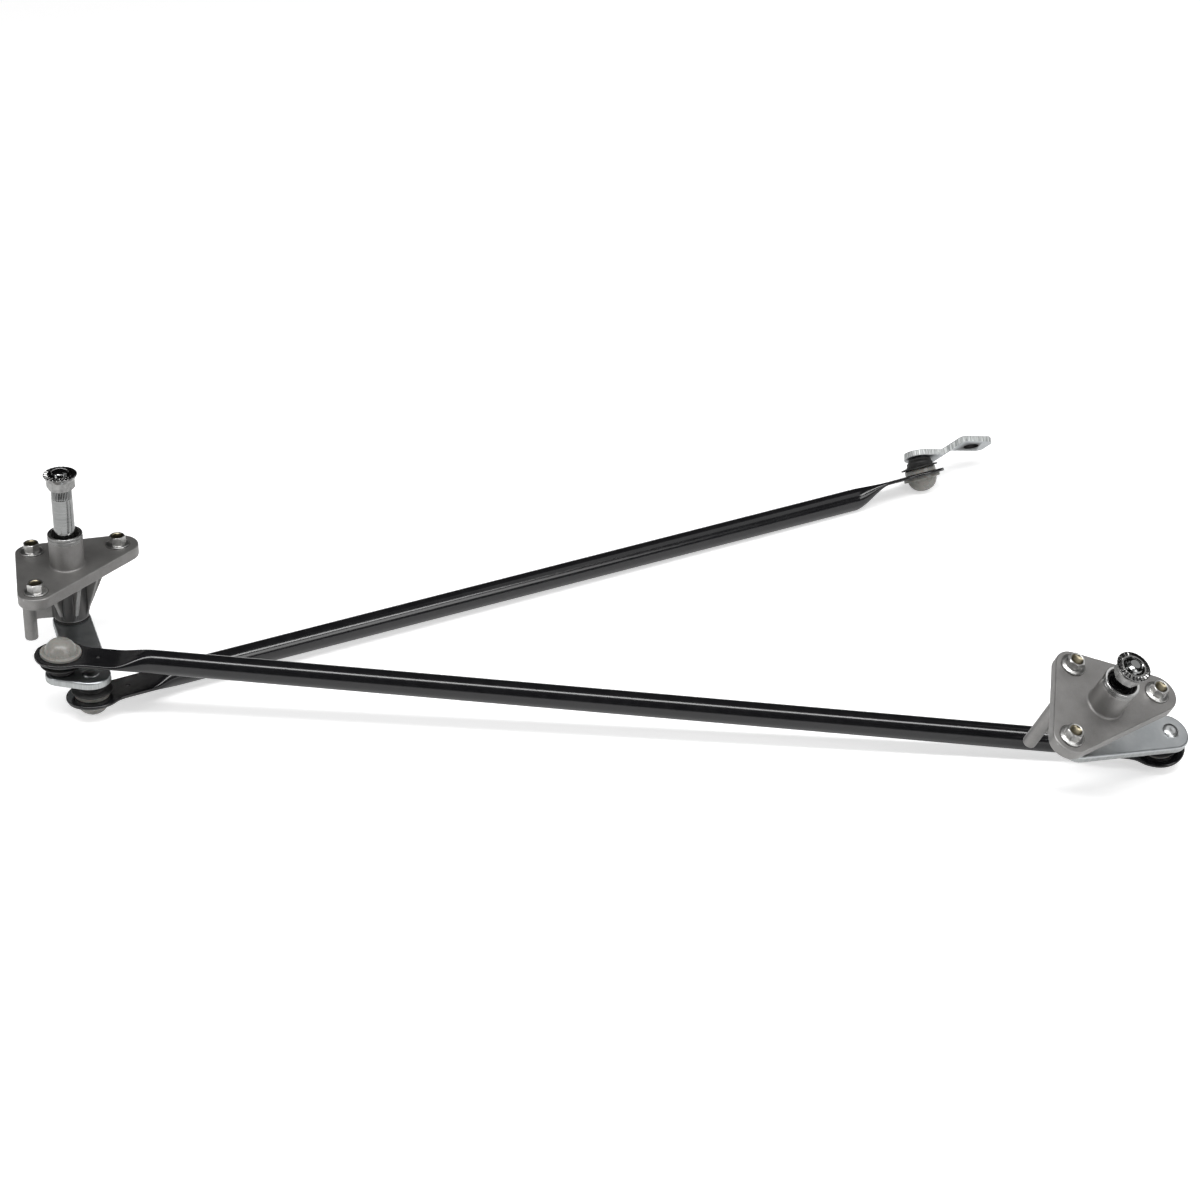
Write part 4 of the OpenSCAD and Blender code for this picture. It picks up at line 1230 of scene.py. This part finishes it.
# %% [markdown]
# ## Floor and light
#
# The floor is pale and plain, so that it keeps a soft shadow. A white background could come from more
# light, but that would bleach the object. Instead floor and world are brighter for rays that look
# straight at them, from the camera or by way of a mirror, and the lamps stay at a plain level. One
# long strip overhead draws a line down each tube, and three soft boxes fill the sides.

# %% Floor


def seen_directly(wire):
    """1 on the rays of the camera and on those that a mirror or a clear body sends on."""
    rays = [wire.node("ShaderNodeLightPath", out=f"Is {ray} Ray") for ray in looking_rays]
    return wire.maths("MINIMUM", rays[0] + rays[1] + rays[2], 1.0)


def flat_sheet(name, width, height, finish):
    """A flat rectangle round its own origin, which is part of the studio and not of the object."""
    x, y = width / 2, height / 2
    mesh = bpy.data.meshes.new(name)
    mesh.from_pydata([(-x, -y, 0), (x, -y, 0), (x, y, 0), (-x, y, 0)], [], [(0, 1, 2, 3)])
    mesh.materials.append(finish)
    sheet = bpy.data.objects.new(name, mesh)
    scene.collection.objects.link(sheet)
    return sheet


looking_rays = ("Camera", "Glossy", "Transmission")
floor_height, floor_size = -62.3 * MM, 18
paper_constants = {
    "Base Color": (0.88, 0.88, 0.88, 1),
    "Roughness": 0.9,
    "Specular IOR Level": 0.1,
    "Emission Strength": 1.0,
}
paper, paper_surface, wire = new_finish("white_paper", paper_constants)
camera_ray = wire.node("ShaderNodeLightPath", out="Is Camera Ray")
wire.feed(paper_surface["Emission Color"], 0.2 * seen_directly(wire) + 0.35 * camera_ray)
flat_sheet("floor", floor_size, floor_size, paper).location.z = floor_height
tell(paper)

# %% World and lamps
world = bpy.data.worlds.new("studio")
scene.world = world
world.use_nodes = True
sky = world.node_tree.nodes["Background"]
air = Wire(world.node_tree)
air.feed(sky.inputs["Color"], seen_directly(air).mix((0.22, 0.22, 0.22, 1), (1, 1, 1, 1)))


def aim(thing, place, target):
    thing.location = place
    thing.rotation_euler = (Vector(target) - Vector(place)).to_track_quat("-Z", "Y").to_euler()


def lamp(name, place, target, size, watts):
    light = bpy.data.lights.new(name, "AREA")
    light.shape, light.size, light.size_y, light.energy = "RECTANGLE", *size, watts
    holder = bpy.data.objects.new(name, light)
    aim(holder, place, target)
    scene.collection.objects.link(holder)
    print(f"{name}: {watts} W over {size[0]} by {size[1]} m")


middle = (0.32, 0.05, 0)
lamp("overhead_strip", (0.32, -0.48, 1.5), (0.32, -0.1, 0), (2.4, 0.3), 23)
lamp("right_box", (1.9, -1.3, 1.2), middle, (0.9, 0.9), 9)
lamp("left_box", (-1.5, -0.9, 0.9), middle, (0.7, 0.9), 6)
lamp("high_right_box", (1.5, 0.5, 1.4), (0.6, -0.17, 0), (1.2, 1.2), 3.2)

# %% [markdown]
# ## Dark cards
#
# Metal and black gloss are mostly what stands round them. In a room that is white on all sides they
# turn pale and flat. A photographer hangs dark cards out of the picture, and we do the same: a ceiling
# and four walls, metres away, that only reflections see. They throw no shadow on the object and take
# no light from it. The floor stays white in every reflection.

# %% Cards as ceiling and walls
card_constants = {"Base Color": (0.03, 0.03, 0.03, 1), "Roughness": 0.9, "Specular IOR Level": 0.0}
card_finish, _, _ = new_finish("dark_card", card_constants)


def dark_card(name, place, target, width, height):
    card = flat_sheet(name, width, height, card_finish)
    aim(card, place, target)
    card.visible_camera = card.visible_diffuse = card.visible_shadow = False


dark_card("ceiling_card", (0.3, 0.2, 3.2), (0.3, 0.2, 0), 8, 8)
dark_card("back_card", (0.3, 3.2, 1.7), (0.3, 0, 1.7), 8, 3.2)
dark_card("front_card", (0.3, -3.6, 1.7), (0.3, 0, 1.7), 8, 3.0)
dark_card("left_card", (-3.4, 0, 1.7), (0, 0, 1.7), 8, 3.0)
dark_card("right_card", (4.0, 0, 1.7), (0, 0, 1.7), 8, 3.0)
tell(card_finish)

# %% [markdown]
# ## Camera
#
# The photograph is taken from in front and a little above, with a long lens, which keeps the tubes
# nearly parallel. The place and the lens were worked out from the bolts, nuts and ball joints.

# %% Camera
sensor_width, picture_width, lens_in_pixels, look_down = 36, 1200, 3445, 28.64
camera_data = bpy.data.cameras.new("camera")
camera_data.sensor_width = sensor_width
camera_data.lens = sensor_width * lens_in_pixels / picture_width
camera = bpy.data.objects.new("camera", camera_data)
camera.location = (0.3157, -1.8021, 0.9599)
camera.rotation_euler = (math.radians(90 - look_down), 0, 0)
scene.collection.objects.link(camera)
scene.camera = camera
print(f"the lens is {camera_data.lens:.1f} mm")
